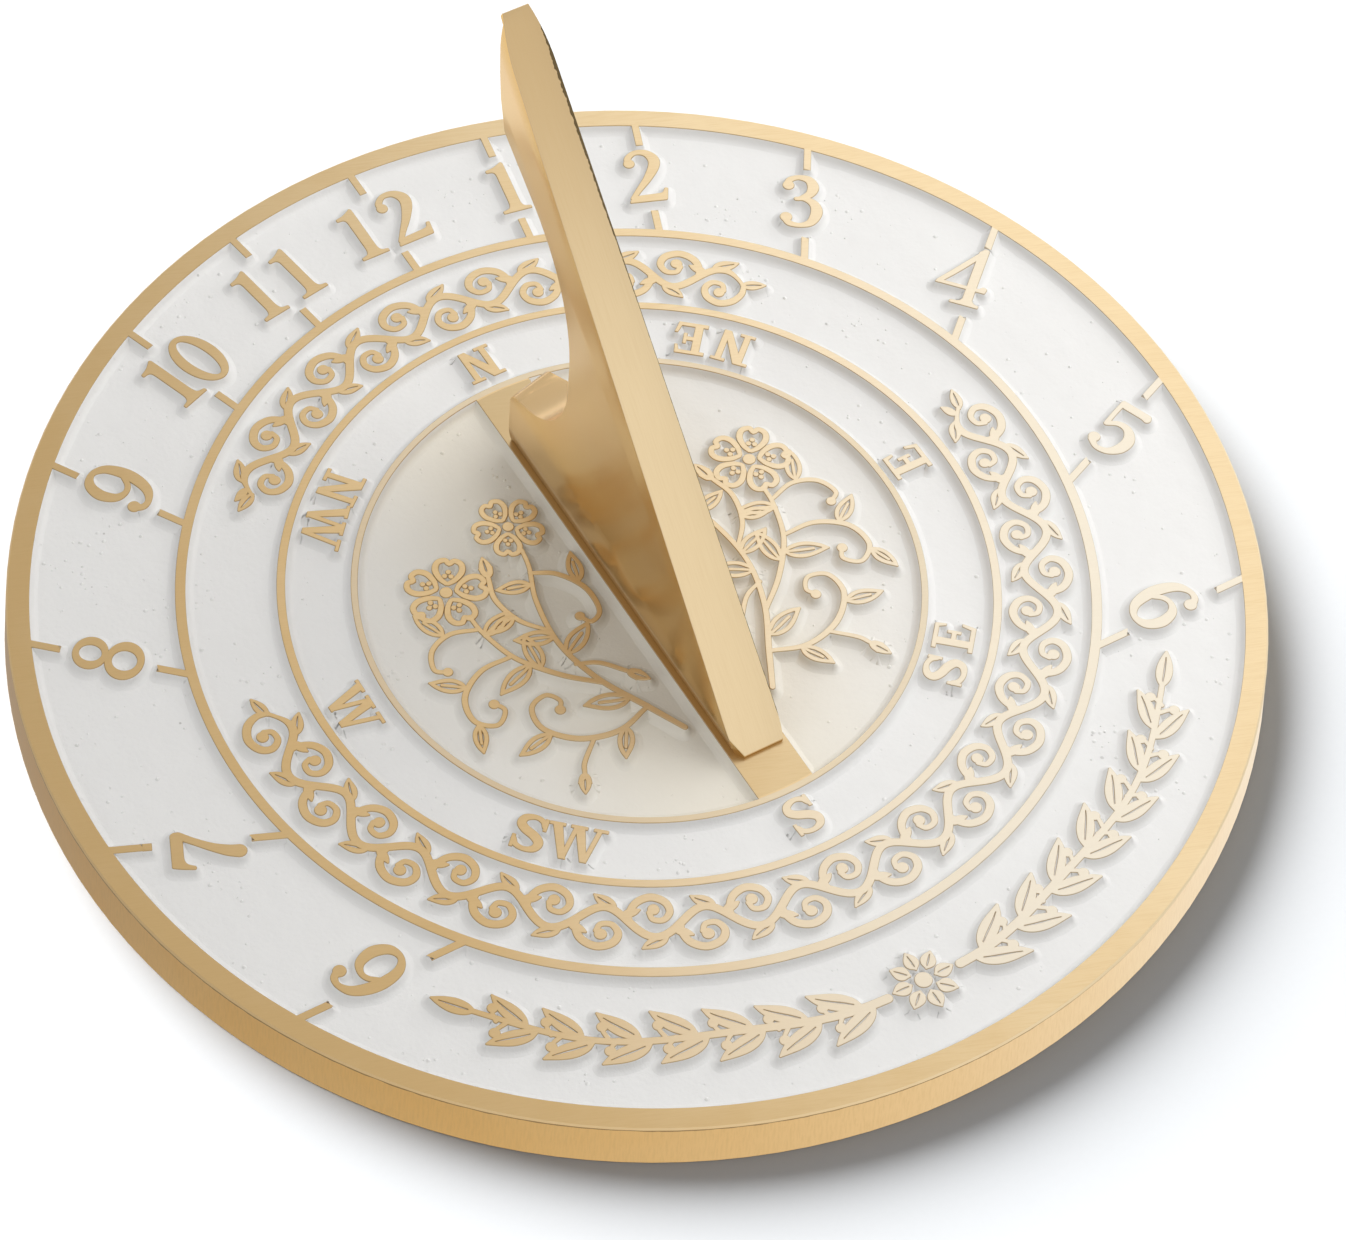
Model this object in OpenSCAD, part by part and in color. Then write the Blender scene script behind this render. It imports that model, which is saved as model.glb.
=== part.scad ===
// Horizontal garden sundial: a round cast dial plate with raised rings,
// a raised noon bar, hour marks and white painted fields, and a cast gnomon
// that stands on the bar and is fastened by two screws from below.
//
// Frame: millimetres, +Z up, +Y north (the twelve o'clock mark), +X east.
// The origin is the middle of the dial on the plane that the rim rests on.

/* [Dial plate] */
// radius of the painted face, at the inner edge of the rim
dial_r = 104; // [80:1:150]
// flat top of the rim, across
rim_w = 3.6; // [2.5:0.1:6]
// how far the rim's outer wall leans out from its top to its foot
rim_flare = 1.0; // [0:0.1:2]
// overall height of the plate, from the resting plane to the ring tops
dial_h = 9.5; // [8:0.5:14]
// height of the raised rings, marks and bar above the paint
relief_h = 1.5; // [0.8:0.1:2.5]
// thickness of the paint in the fields
paint_t = 0.4; // [0.2:0.1:0.8]
// thickness of the casting under the painted fields
web_t = 2.6; // [2:0.1:4]
// thickness of the rim's wall where it meets the ground
wall_t = 5; // [3:0.5:8]

/* [Rings and bar] */
// outer ring: its middle as a share of the painted radius
outer_ring_at = 0.754; // [0.72:0.002:0.78]
// outer ring, across
outer_ring_w = 1.6; // [1:0.1:2.5]
// middle ring: its middle as a share of the painted radius
mid_ring_at = 0.590; // [0.56:0.002:0.63]
// middle ring, across
mid_ring_w = 1.3; // [0.8:0.1:2.5]
// inner ring: its middle as a share of the painted radius
inner_ring_at = 0.470; // [0.46:0.002:0.5]
// inner ring, across
inner_ring_w = 1.0; // [0.6:0.1:2.5]
// noon bar, across
bar_w = 10.4; // [10:0.1:14]

/* [Hour marks] */
// latitude that the hour marks are worked out for, degrees
dial_latitude = 40; // [30:0.5:58]
// hour marks, across
mark_w = 1.2; // [0.8:0.1:2]
// length of the marks at the rim, measured along the radius
rim_mark_len = 4.7; // [3:0.1:8]
// length of the marks at the outer ring, measured along the radius
ring_mark_len = 4.5; // [3:0.1:8]

/* [Gnomon] */
// height of the gnomon as a share of the painted radius
gnomon_rise = 0.942; // [0.9:0.002:0.96]
// slope of the shadow-casting face above the plate, degrees
style_angle = 48; // [47:0.25:50]
// thickness at its thickest line, just above the foot
gnomon_w = 9.8; // [8:0.1:9.9]
// thickness where it meets the bar; the foot is drawn in by polishing
foot_w = 8.4; // [7.6:0.1:9]
// thickness just below the tip
tip_w = 7.5; // [6:0.1:8.5]
// height of the blunt edge where the sloping face ends over the bar
blunt_h = 0.7; // [0.5:0.1:2]
// how far the toe's end is turned from square, degrees
toe_skew = 15; // [0:1:20]

/* [Fastening] */
// diameter of the gnomon screws
screw_d = 4; // [3:0.5:5]
// all-round clearance of the screws in the plate
screw_gap = 0.25; // [0.15:0.05:0.5]
// depth that the screws reach into the gnomon
screw_grip = 8; // [6:0.5:10]
// all-round clearance between the screw threads and the tapped holes
thread_gap = 0.05; // [0.03:0.01:0.1]
// thickness of the washers
washer_t = 0.8; // [0.5:0.1:1.2]
// height of the screw heads
head_h = 2.2; // [1.6:0.1:2.6]

/* [Hidden] */
$fn = 144;
// levels, from the ground up
bed_z = dial_h - relief_h - paint_t;      // cast floor of the painted fields
paint_z = dial_h - relief_h;              // top of the paint
web_z = bed_z - web_t;                    // underside of the casting
washer_od = screw_d * 2.25;
head_od = screw_d * 2;
boss_od = washer_od + 5;                  // bosses round the screws
head_lift = 0.5;                          // screw heads stay clear of the ground
washer_z = head_lift + head_h;            // underside of the washers
boss_z = washer_z + washer_t;             // faces that the washers bear on
// rim
rim_r = dial_r + rim_w;                   // outer edge of the flat top
foot_r = rim_r + rim_flare;               // outer edge at the ground
edge = 0.3;                               // broken edges of the rim
hollow_cut = 1.5;                         // bevel inside the hollow underside
// rings
outer_ring_r = dial_r * outer_ring_at;
mid_ring_r = dial_r * mid_ring_at;
inner_ring_r = dial_r * inner_ring_at;
field_r = inner_ring_r - inner_ring_w / 2; // radius of the centre field
// hour lines meet on the noon line, at the inner ring
hour_root = -inner_ring_r;
// gnomon outline, worked out on its height so that it keeps its shape
g = dial_r * gnomon_rise;
tip_y = 0.486 * g;                        // north end of the sloping face
heel_y = tip_y - (g - blunt_h) / tan(style_angle); // south end of that face
back_y = 0.196 * g;                       // narrowest standing part of the back
scoop_r = 0.197 * g;                      // hollow between the toe and the back
scoop_z = 0.341 * g;                      // height of the scoop's centre
sweep_r = 0.352 * g;                      // long hollow of the back
sweep_z = 0.402 * g;                      // height of that hollow's centre
sweep_end = 53;                           // degrees that the long hollow turns
toe_y = 0.394 * g;                        // north end of the foot, at its middle
toe_z = scoop_z - scoop_r;                // lowest line of the scoop
toe_lip = 0.003 * g;                      // the toe's rounding starts above it
toe_round = 0.031 * g;                    // rounded top edge of the toe
heel_cut = 0.016 * g;                     // filed corner of the heel
swell_z = 4.7;                            // height of the thickest line
taper_z = 0.918 * g;                      // where the tip starts to round off
end_w = 4.6;                              // width that is left at the very tip
screw_y = [-0.115 * dial_r, 0.115 * dial_r]; // the two screws, south and north
part_colour = [0.86, 0.72, 0.45];
paint_colour = [0.93, 0.92, 0.90];
steel_colour = [0.62, 0.62, 0.62];

// a flat ring between two radii
module ring_2d(r_in, r_out) {
    difference() {
        circle(r = r_out);
        circle(r = r_in);
    }
}

// Direction of the mark for h hours from noon, counted clockwise from north.
// On a horizontal dial tan(direction) = sin(latitude) * tan(15 h).
function hour_angle(h) = atan2(sin(dial_latitude) * sin(15 * h), cos(15 * h));

// every hour line from six to six as a thin strip from the hour root
module hour_lines_2d() {
    translate([0, hour_root])
        for (h = [-6:6])
            rotate(-hour_angle(h))
                translate([-mark_w / 2, 0])
                    square([mark_w, 2.2 * dial_r]);
}

// the two circles of hour marks: one hangs from the rim, one stands on the
// outer ring; each runs on into the rim or the ring that carries it
module hour_marks_2d() {
    intersection() {
        hour_lines_2d();
        union() {
            ring_2d(dial_r - rim_mark_len, dial_r + rim_w / 2);
            ring_2d(outer_ring_r, outer_ring_r + outer_ring_w / 2 + ring_mark_len);
        }
    }
}

// the noon bar, ended by the inner ring
module bar_2d(r_end, w = bar_w) {
    intersection() {
        circle(r = r_end);
        square([w, 2.2 * dial_r], center = true);
    }
}

// Half section of the casting: rim, hollow underside, painted beds and rings.
module dial_section_2d() {
    polygon([
        [0, web_z], [foot_r - wall_t - hollow_cut, web_z],
        [foot_r - wall_t, web_z - hollow_cut],
        [foot_r - wall_t, 0], [foot_r - edge, 0], [foot_r, edge],
        [rim_r + edge, dial_h - edge], [rim_r, dial_h],
        [dial_r, dial_h], [dial_r, bed_z],
        [outer_ring_r + outer_ring_w / 2, bed_z],
        [outer_ring_r + outer_ring_w / 2, dial_h],
        [outer_ring_r - outer_ring_w / 2, dial_h],
        [outer_ring_r - outer_ring_w / 2, bed_z],
        [mid_ring_r + mid_ring_w / 2, bed_z],
        [mid_ring_r + mid_ring_w / 2, dial_h],
        [mid_ring_r - mid_ring_w / 2, dial_h],
        [mid_ring_r - mid_ring_w / 2, bed_z],
        [inner_ring_r + inner_ring_w / 2, bed_z],
        [inner_ring_r + inner_ring_w / 2, dial_h],
        [inner_ring_r - inner_ring_w / 2, dial_h],
        [inner_ring_r - inner_ring_w / 2, bed_z],
        [0, bed_z]
    ]);
}

// The dial plate, one casting: everything but the paint and the gnomon.
module dial_plate() {
    color(part_colour)
    difference() {
        union() {
            rotate_extrude() dial_section_2d();
            translate([0, 0, bed_z - 0.5]) linear_extrude(relief_h + paint_t + 0.5) {
                hour_marks_2d();
                bar_2d(inner_ring_r);
            }
            // bosses that take the pull of the gnomon screws
            for (y = screw_y)
                translate([0, y, boss_z])
                    cylinder(d = boss_od, h = bed_z - boss_z);
        }
        for (y = screw_y)
            translate([0, y, boss_z - 1])
                cylinder(d = screw_d + 2 * screw_gap, h = dial_h, $fn = 48);
    }
}

// Paint of one field: it lies on the cast bed and ends at the raised edges.
module paint(r_in, r_out) {
    color(paint_colour)
    translate([0, 0, bed_z]) linear_extrude(paint_t)
        difference() {
            ring_2d(r_in, r_out);
            hour_marks_2d();
        }
}

module enamel_hour_band() {
    paint(outer_ring_r + outer_ring_w / 2, dial_r);
}

module enamel_legend_band() {
    paint(mid_ring_r + mid_ring_w / 2, outer_ring_r - outer_ring_w / 2);
}

module enamel_compass_band() {
    paint(inner_ring_r + inner_ring_w / 2, mid_ring_r - mid_ring_w / 2);
}

// the centre field on the east side of the noon bar
module centre_field() {
    color(paint_colour)
    translate([0, 0, bed_z]) linear_extrude(paint_t)
        intersection() {
            circle(r = field_r);
            translate([bar_w / 2, -dial_r]) square([dial_r, 2 * dial_r]);
        }
}

module enamel_centre_east() {
    centre_field();
}

module enamel_centre_west() {
    mirror([1, 0, 0]) centre_field();
}

// What is hollowed out of the gnomon on its north side, in side view: the
// scoop over the toe, the upright part of the back and its long upper sweep.
module gnomon_hollow_2d() {
    lap = 0.02;
    intersection() {
        translate([back_y + scoop_r, scoop_z]) circle(r = scoop_r);
        square([back_y + 2 * scoop_r, scoop_z + lap]);
    }
    translate([back_y, scoop_z]) square([sweep_r, sweep_z - scoop_z]);
    intersection() {
        translate([back_y + sweep_r, sweep_z]) circle(r = sweep_r);
        translate([0, sweep_z - lap]) square([back_y + sweep_r, sweep_r + 1]);
    }
}

// Side view of the gnomon (y to the north, z up from the bar): the sloping
// face on the south, the scooped toe and the swept back on the north. Above
// the long hollow the back runs on straight to a shoulder and turns upright.
module gnomon_side_2d() {
    sweep_top = [back_y + sweep_r * (1 - cos(sweep_end)),
                 sweep_z + sweep_r * sin(sweep_end)];
    toe_far = toe_y + gnomon_w * sin(toe_skew);
    difference() {
        polygon([
            [heel_y, 0], [heel_y, blunt_h], [tip_y, g],
            [tip_y + 0.3, g - 0.25], [tip_y + 0.35, g - 0.8],
            [0.477 * g, 0.984 * g], [0.468 * g, 0.930 * g],
            [0.4655 * g, 0.885 * g], [0.459 * g, 0.828 * g],
            [0.443 * g, 0.765 * g], [0.436 * g, 0.757 * g],
            sweep_top, [toe_far, sweep_z], [toe_far, 0]
        ]);
        gnomon_hollow_2d();
    }
}

// Side view of all that the toe's end face leaves: its top edge is rounded,
// and nothing is taken away above the scoop's centre.
module toe_end_2d() {
    difference() {
        translate([-2 * g, -1]) square([4 * g, 2 * g]);
        translate([-toe_round, toe_z + toe_lip - toe_round])
            square([2 * g, scoop_z - toe_z - toe_lip + toe_round]);
        translate([0, -2]) square([2 * g, scoop_z + 2]);
    }
    translate([-toe_round, toe_z + toe_lip - toe_round]) circle(r = toe_round);
}

// Plan of the gnomon's lower part: the heel's filed west corner, and the east
// side of the toe, which is drawn in a little.
module gnomon_plan_2d() {
    west = -foot_w / 2;
    polygon([
        [west + 0.65 * heel_cut, heel_y - 1], [west + 0.65 * heel_cut, heel_y],
        [west - 6.5 * heel_cut, heel_y + 11 * heel_cut], [west - 6.5 * heel_cut, g],
        [0.021 * g, g], [0.021 * g, 0.418 * g],
        [0.076 * g, 0.283 * g], [gnomon_w, heel_y - 1]
    ]);
}

// The part between two equal circles, each of radius r, that is w across at
// its middle: its arcs draw in a foot or a tip without a break.
module lens_2d(r, w) {
    intersection() {
        translate([r - w / 2, 0]) circle(r = r, $fn = 360);
        translate([w / 2 - r, 0]) circle(r = r, $fn = 360);
    }
}

// radius of an arc that goes from upright to an inset of "inset" in a rise "rise"
function inset_r(rise, inset) = (rise * rise + inset * inset) / (2 * inset);

// End view of the gnomon (x to the east, z up): drawn in at the foot, a slight
// taper upwards and a rounded tip.
module gnomon_end_2d() {
    foot_in = (gnomon_w - foot_w) / 2;
    tip_in = (tip_w - end_w) / 2;
    translate([0, swell_z]) intersection() {
        lens_2d(inset_r(swell_z, foot_in), gnomon_w);
        translate([-gnomon_w, -swell_z]) square([2 * gnomon_w, swell_z]);
    }
    polygon([
        [-gnomon_w / 2, swell_z], [gnomon_w / 2, swell_z],
        [tip_w / 2, taper_z], [-tip_w / 2, taper_z]
    ]);
    translate([0, taper_z]) intersection() {
        lens_2d(inset_r(g - taper_z, tip_in), tip_w);
        translate([-tip_w, 0]) square([2 * tip_w, g - taper_z + 1]);
    }
}

// The gnomon, one casting, with two blind tapped holes in its foot. Its body is
// what the side view and the end view share; the toe and the heel are finished
// by the toe's end face and by the plan.
module gnomon() {
    color(part_colour)
    translate([0, 0, dial_h])
    difference() {
        intersection() {
            rotate([90, 0, 90]) linear_extrude(2 * gnomon_w, center = true)
                gnomon_side_2d();
            rotate([90, 0, 0]) linear_extrude(4 * g, center = true)
                gnomon_end_2d();
            translate([0, toe_y, 0]) rotate([0, 0, toe_skew]) rotate([90, 0, 90])
                linear_extrude(8 * gnomon_w, center = true) toe_end_2d();
            union() {
                translate([0, 0, -1]) linear_extrude(scoop_z + 1) gnomon_plan_2d();
                translate([-g, -g, scoop_z]) cube([2 * g, 3 * g, g]);
            }
        }
        for (y = screw_y)
            translate([0, y, -1])
                cylinder(d = screw_d + 2 * thread_gap, h = screw_grip + 2, $fn = 48);
    }
}

// a pan-head screw with a cross recess, put in from below
module gnomon_screw(y) {
    color(steel_colour)
    translate([0, y, washer_z]) difference() {
        union() {
            translate([0, 0, -head_h]) rotate_extrude()
                polygon([
                    [0, 0], [head_od * 0.3, 0], [head_od * 0.44, head_h * 0.25],
                    [head_od / 2, head_h * 0.6], [head_od / 2, head_h], [0, head_h]
                ]);
            cylinder(d = screw_d, h = dial_h - washer_z + screw_grip, $fn = 48);
        }
        for (a = [0, 90])
            rotate(a) translate([0, 0, -head_h])
                cube([head_od * 0.55, screw_d * 0.2, head_h], center = true);
    }
}

module gnomon_screw_south() {
    gnomon_screw(screw_y[0]);
}

module gnomon_screw_north() {
    gnomon_screw(screw_y[1]);
}

// a flat washer between a screw head and its boss
module washer(y) {
    color(steel_colour)
    translate([0, y, washer_z]) linear_extrude(washer_t)
        ring_2d(screw_d / 2 + screw_gap, washer_od / 2);
}

module washer_south() {
    washer(screw_y[0]);
}

module washer_north() {
    washer(screw_y[1]);
}

dial_plate();
enamel_hour_band();
enamel_legend_band();
enamel_compass_band();
enamel_centre_west();
enamel_centre_east();
gnomon();
gnomon_screw_south();
gnomon_screw_north();
washer_south();
washer_north();
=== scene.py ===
# %% [markdown]
# # A horizontal garden sundial
#
# The dial is one round brass casting with raised work. White paint fills the
# low fields, and the tops of the raised work were rubbed bright afterwards. A
# polished brass gnomon stands on the noon bar. The exact solids are loaded
# first, and everything below is laid on them. Lengths in the shape functions
# are in millimetres, because a maker of dials thinks in them; one helper turns
# them into Blender's metres.

# %% Load the solids
import math

import bpy
import numpy as np
from mathutils import Matrix, Vector
from mathutils.geometry import delaunay_2d_cdt


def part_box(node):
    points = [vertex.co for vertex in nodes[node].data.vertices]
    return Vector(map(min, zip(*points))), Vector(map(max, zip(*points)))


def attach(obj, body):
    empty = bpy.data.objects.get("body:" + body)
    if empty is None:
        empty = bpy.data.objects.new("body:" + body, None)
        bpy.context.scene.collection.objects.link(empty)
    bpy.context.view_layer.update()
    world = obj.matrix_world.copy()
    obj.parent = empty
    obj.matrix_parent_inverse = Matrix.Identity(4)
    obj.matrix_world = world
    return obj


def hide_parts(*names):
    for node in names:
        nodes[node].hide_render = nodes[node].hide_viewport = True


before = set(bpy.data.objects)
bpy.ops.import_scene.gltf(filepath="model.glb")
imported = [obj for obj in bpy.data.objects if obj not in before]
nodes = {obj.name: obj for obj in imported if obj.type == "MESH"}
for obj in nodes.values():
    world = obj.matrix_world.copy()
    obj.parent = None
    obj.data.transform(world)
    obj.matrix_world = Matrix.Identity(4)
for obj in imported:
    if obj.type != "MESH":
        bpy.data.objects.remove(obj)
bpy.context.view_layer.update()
MM = 0.001
print("solids:", ", ".join(sorted(nodes)))

# %% [markdown]
# ## Sizes of the casting
#
# The rings, the marks and the bar are already in the solids. Their radii are
# written here once more, as names, so that the paint and the ornament can be
# fitted between them. Heights are above the ground.

# %% Sizes
DIAL_R = 104.0
RIM_TOP = 3.6
TOP_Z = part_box("dial_plate")[1].z / MM
PAINT_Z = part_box("enamel_hour_band")[1].z / MM
FACE_R = {"outer": 0.754 * DIAL_R, "middle": 0.590 * DIAL_R, "inner": 0.470 * DIAL_R}
RING_W = {"outer": 1.6, "middle": 1.3, "inner": 1.0}
BAR_HALF = 5.2
MARK_W = 1.2
LATITUDE = math.radians(40)
HOUR_ROOT = np.array([0.0, -FACE_R["inner"]])
print(f"tops at {TOP_Z:.2f} mm, paint at {PAINT_Z:.2f} mm")

# %% [markdown]
# ## Camera
#
# The camera looks down on the dial from the south-west with a long lens. It
# aims at the middle of the dial, and is then turned a little on its own three
# axes. A constraint could aim it too, but the small turns matter here, so the
# rotation matrix is built from the angles, row by row.

# %% Camera
AZIMUTH, ELEVATION, DISTANCE = -0.58552, 0.93391, 0.86266
YAW, PITCH, ROLL = -0.00701, -0.00703, -0.07045
LENS = 134.80


def turn(axis, angle):
    """Right-handed rotation by angle about axis 0, 1 or 2."""
    c, s = math.cos(angle), math.sin(angle)
    m = np.eye(3)
    a, b = [i for i in range(3) if i != axis]
    m[a, a] = m[b, b] = c
    m[a, b], m[b, a] = (s, -s) if axis == 1 else (-s, s)
    return m


back = np.array([math.sin(AZIMUTH) * math.cos(ELEVATION),
                 -math.cos(AZIMUTH) * math.cos(ELEVATION), math.sin(ELEVATION)])
right = np.cross(-back, [0, 0, 1])
right /= np.linalg.norm(right)
axes = turn(2, ROLL) @ turn(0, PITCH) @ turn(1, YAW) @ np.array(
    [right, np.cross(right, -back), -back])
stand = back * DISTANCE + [0, 0, TOP_Z * MM]
camera = bpy.data.objects.new("camera", bpy.data.cameras.new("camera"))
camera.data.lens, camera.data.sensor_width = LENS, 36
camera.data.sensor_fit = "HORIZONTAL"
camera.data.clip_start, camera.data.clip_end = 0.05, 20
pose = np.eye(4)
pose[:3, 0], pose[:3, 1], pose[:3, 2], pose[:3, 3] = axes[0], axes[1], -axes[2], stand
camera.matrix_world = Matrix(pose.tolist())
bpy.context.scene.collection.objects.link(camera)
bpy.context.scene.camera = camera
bpy.context.scene.view_settings.view_transform = "Standard"
print("camera at", np.round(stand, 3))

# %% [markdown]
# ## Mesh and shader helpers
#
# A mesh could be grown face by face, but whole arrays of points and faces are
# far quicker and read like the formula of the shape. A shader is a chain of
# nodes, so one short function adds a node, sets it and links it.

# %% Helpers
def make_mesh(name, points, faces, smooth=True):
    """An object at the origin from points in millimetres and a list of face
    arrays (triangles or quads)."""
    mesh = bpy.data.meshes.new(name)
    faces = [np.asarray(f, np.int32) for f in faces if len(f)]
    loops = np.concatenate([f.ravel() for f in faces])
    totals = np.concatenate([np.full(len(f), f.shape[1], np.int32) for f in faces])
    mesh.vertices.add(len(points))
    mesh.vertices.foreach_set("co", (np.asarray(points, np.float32) * MM).ravel())
    mesh.loops.add(len(loops))
    mesh.loops.foreach_set("vertex_index", loops)
    mesh.polygons.add(len(totals))
    mesh.polygons.foreach_set(
        "loop_start", np.concatenate([[0], np.cumsum(totals)[:-1]]).astype(np.int32))
    mesh.polygons.foreach_set("use_smooth", np.full(len(totals), smooth))
    mesh.update(calc_edges=True)
    mesh.validate()
    obj = bpy.data.objects.new(name, mesh)
    bpy.context.scene.collection.objects.link(obj)
    return obj


def dress(obj, material):
    """Gives a new piece its finish and its body."""
    obj.data.materials.append(material)
    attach(obj, "root")
    print(f"{obj.name}: {len(obj.data.polygons)} faces")
    return obj


def wire(tree, socket, value):
    """Links another node's output to a socket, or writes a value into it. A
    colour of three numbers gets a full alpha."""
    if isinstance(value, bpy.types.NodeSocket):
        tree.links.new(value, socket)
    else:
        socket.default_value = (*value, 1.0)[:4] if socket.type == "RGBA" else value


def add(tree, kind, inputs=None, **settings):
    """One node; inputs are values or other nodes' outputs."""
    node = tree.nodes.new(kind)
    for key, value in settings.items():
        setattr(node, key, value)
    for key, value in (inputs or {}).items():
        wire(tree, node.inputs[key], value)
    return node


def maths(tree, operation, a, b=0.0, c=0.0):
    """The result of one Math node."""
    return add(tree, "ShaderNodeMath", {0: a, 1: b, 2: c}, operation=operation).outputs[0]


def span(tree, value, low, high, to_low=0.0, to_high=1.0):
    """Maps low..high smoothly onto to_low..to_high, and holds the ends."""
    return add(tree, "ShaderNodeMapRange",
               {"Value": value, "From Min": low, "From Max": high,
                "To Min": to_low, "To Max": to_high},
               interpolation_type="SMOOTHSTEP").outputs["Result"]


def blend(tree, factor, a, b):
    """Mixes two colours."""
    return add(tree, "ShaderNodeMix", {0: factor, 6: a, 7: b}, data_type="RGBA",
               clamp_factor=True).outputs[2]


def split(tree, vector):
    """The x, y and z of a vector."""
    return add(tree, "ShaderNodeSeparateXYZ", {0: vector}).outputs


def radius_of(tree, xyz):
    """Distance from the dial's axis: the length of (x, y)."""
    flat = add(tree, "ShaderNodeCombineXYZ", {0: xyz[0], 1: xyz[1]}).outputs[0]
    return add(tree, "ShaderNodeVectorMath", {0: flat}, operation="LENGTH").outputs["Value"]


# %% [markdown]
# ## Floor, light and background
#
# The dial lies on plain white paper. A broad sheet of light hangs overhead, and
# a soft box stands close by on the east. Being close, it lights the east of the
# dial more than the west, and it draws a soft shadow on the west side of each
# letter. The paper has its own broad light from the north, which gives the
# shadow beside the rim, and light linking keeps it off the dial. Metal sees the
# paper and the room as white, a little duller towards the west: without that
# its mirrored sides would be as dark as an empty room.

# %% Floor
PAPER = 4000.0
corners = [(-PAPER, -PAPER, 0), (PAPER, -PAPER, 0), (PAPER, PAPER, 0), (-PAPER, PAPER, 0)]
floor_mesh = make_mesh("floor", corners, [[(0, 1, 2, 3)]], smooth=False)
paper = bpy.data.materials.new("white paper")
paper.use_nodes = True
tree = paper.node_tree
shader = tree.nodes["Principled BSDF"]
shader.inputs["Roughness"].default_value = 0.9
shader.inputs["Specular IOR Level"].default_value = 0.1
spot = add(tree, "ShaderNodeTexCoord").outputs["Object"]
fibre = add(tree, "ShaderNodeTexNoise", {"Vector": spot, "Scale": 900.0, "Detail": 3.0})
tree.links.new(blend(tree, fibre.outputs["Fac"], (0.782, 0.800, 0.817), (0.802, 0.820, 0.837)),
               shader.inputs["Base Color"])
# what metal sees of the paper: bright in the south-east and in the far north
spread = split(tree, spot)
south_east = maths(tree, "MULTIPLY_ADD", spread[1], -0.6, spread[0])
glow = add(tree, "ShaderNodeMapRange", {"Value": south_east, "From Min": -0.13, "From Max": 0.125,
                                        "To Min": 0.48, "To Max": 1.20}).outputs["Result"]
glow = maths(tree, "ADD", glow, span(tree, spread[1], 0.06, 0.12, 0.0, 0.50))
mirrored = add(tree, "ShaderNodeEmission", {"Color": (1.0, 1.0, 1.0), "Strength": glow})
rays = add(tree, "ShaderNodeLightPath").outputs
seen = maths(tree, "MAXIMUM", rays["Is Glossy Ray"], rays["Is Transmission Ray"])
seen = maths(tree, "MULTIPLY", seen, maths(tree, "LESS_THAN", rays["Diffuse Depth"], 0.5))
both = add(tree, "ShaderNodeMixShader", {0: seen, 1: shader.outputs[0], 2: mirrored.outputs[0]})
tree.links.new(both.outputs[0], tree.nodes["Material Output"].inputs["Surface"])
floor_mesh.data.materials.append(paper)
print("floor:", int(2 * PAPER * MM), "m across")


# %% Lights
def lamp(name, kind, bearing, height, distance, energy, **settings):
    """A light that shines on the dial from a bearing (degrees clockwise from
    north), a height above the horizon and a distance in metres."""
    data = bpy.data.lights.new(name, kind)
    data.energy = energy
    for key, value in settings.items():
        setattr(data, key, value)
    obj = bpy.data.objects.new(name, data)
    b, h = math.radians(bearing), math.radians(height)
    out = Vector((math.sin(b) * math.cos(h), math.cos(b) * math.cos(h), math.sin(h)))
    obj.location = out * distance
    obj.rotation_mode = "QUATERNION"
    obj.rotation_quaternion = out.to_track_quat("Z", "Y")
    obj.visible_camera = False
    bpy.context.scene.collection.objects.link(obj)
    return obj


def only(light, shown, state):
    """Light linking: the light reaches only the named object, or all but it."""
    group = bpy.data.collections.new(light.name + " reach")
    group.objects.link(shown)
    group.collection_objects[0].light_linking.link_state = state
    light.light_linking.receiver_collection = group


# name, bearing, distance and power; the soft box is two lamps, and metal mirrors
# only the second one
for name, bearing, distance, power, mirrored_too in (
        ("soft box", 96, 0.47, 1.36, False), ("soft box glow", 66, 0.45, 0.64, True)):
    key_light = lamp(name, "AREA", bearing, 40, distance, power, shape="SQUARE", size=0.54)
    key_light.visible_glossy = mirrored_too
    only(key_light, floor_mesh, "EXCLUDE")
for name, bearing, height, power, size in (("overhead sheet", 0, 90, 3.5, 1.2),
                                           ("west card", 262, 30, 2.6, 1.0)):
    fill_light = lamp(name, "AREA", bearing, height, 1.0, power, shape="SQUARE", size=size)
    fill_light.visible_glossy = False
    only(fill_light, floor_mesh, "EXCLUDE")
paper_light = lamp("paper light", "SUN", 348, 30, 1.0, 6.8, angle=math.radians(54))
only(paper_light, floor_mesh, "INCLUDE")

# %% Sky
world = bpy.data.worlds.new("studio")
bpy.context.scene.world = world
world.use_nodes = True
tree = world.node_tree
tree.nodes.clear()
rays = add(tree, "ShaderNodeLightPath").outputs
way = add(tree, "ShaderNodeTexCoord").outputs["Generated"]
parts = split(tree, way)
east = span(tree, parts["X"], -0.8, 0.8)
lit_sky = blend(tree, east, (0.25, 0.25, 0.253), (0.36, 0.36, 0.363))
# the grey level of the room as metal sees it, from 0.70 up and down
south = span(tree, parts["Y"], 0.3, -0.8, 0.0, 0.34)
behind_box = span(tree, parts["X"], 0.35, 0.80, 0.0, -0.15)
west = span(tree, parts["X"], -0.2, -0.7, 0.0, -0.10)
level = maths(tree, "ADD", maths(tree, "ADD", south, behind_box), maths(tree, "ADD", west, 0.70))
level = maths(tree, "ADD", level, span(tree, parts["Z"], 0.50, 0.85, 0.0, -0.12))
mirror_sky = add(tree, "ShaderNodeCombineColor", {0: level, 1: level, 2: level}).outputs[0]
seen = maths(tree, "MAXIMUM", rays["Is Camera Ray"], rays["Is Transmission Ray"])
shiny = maths(tree, "MULTIPLY", rays["Is Glossy Ray"],
              maths(tree, "LESS_THAN", rays["Diffuse Depth"], 0.5))
sky = blend(tree, shiny, lit_sky, mirror_sky)
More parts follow.
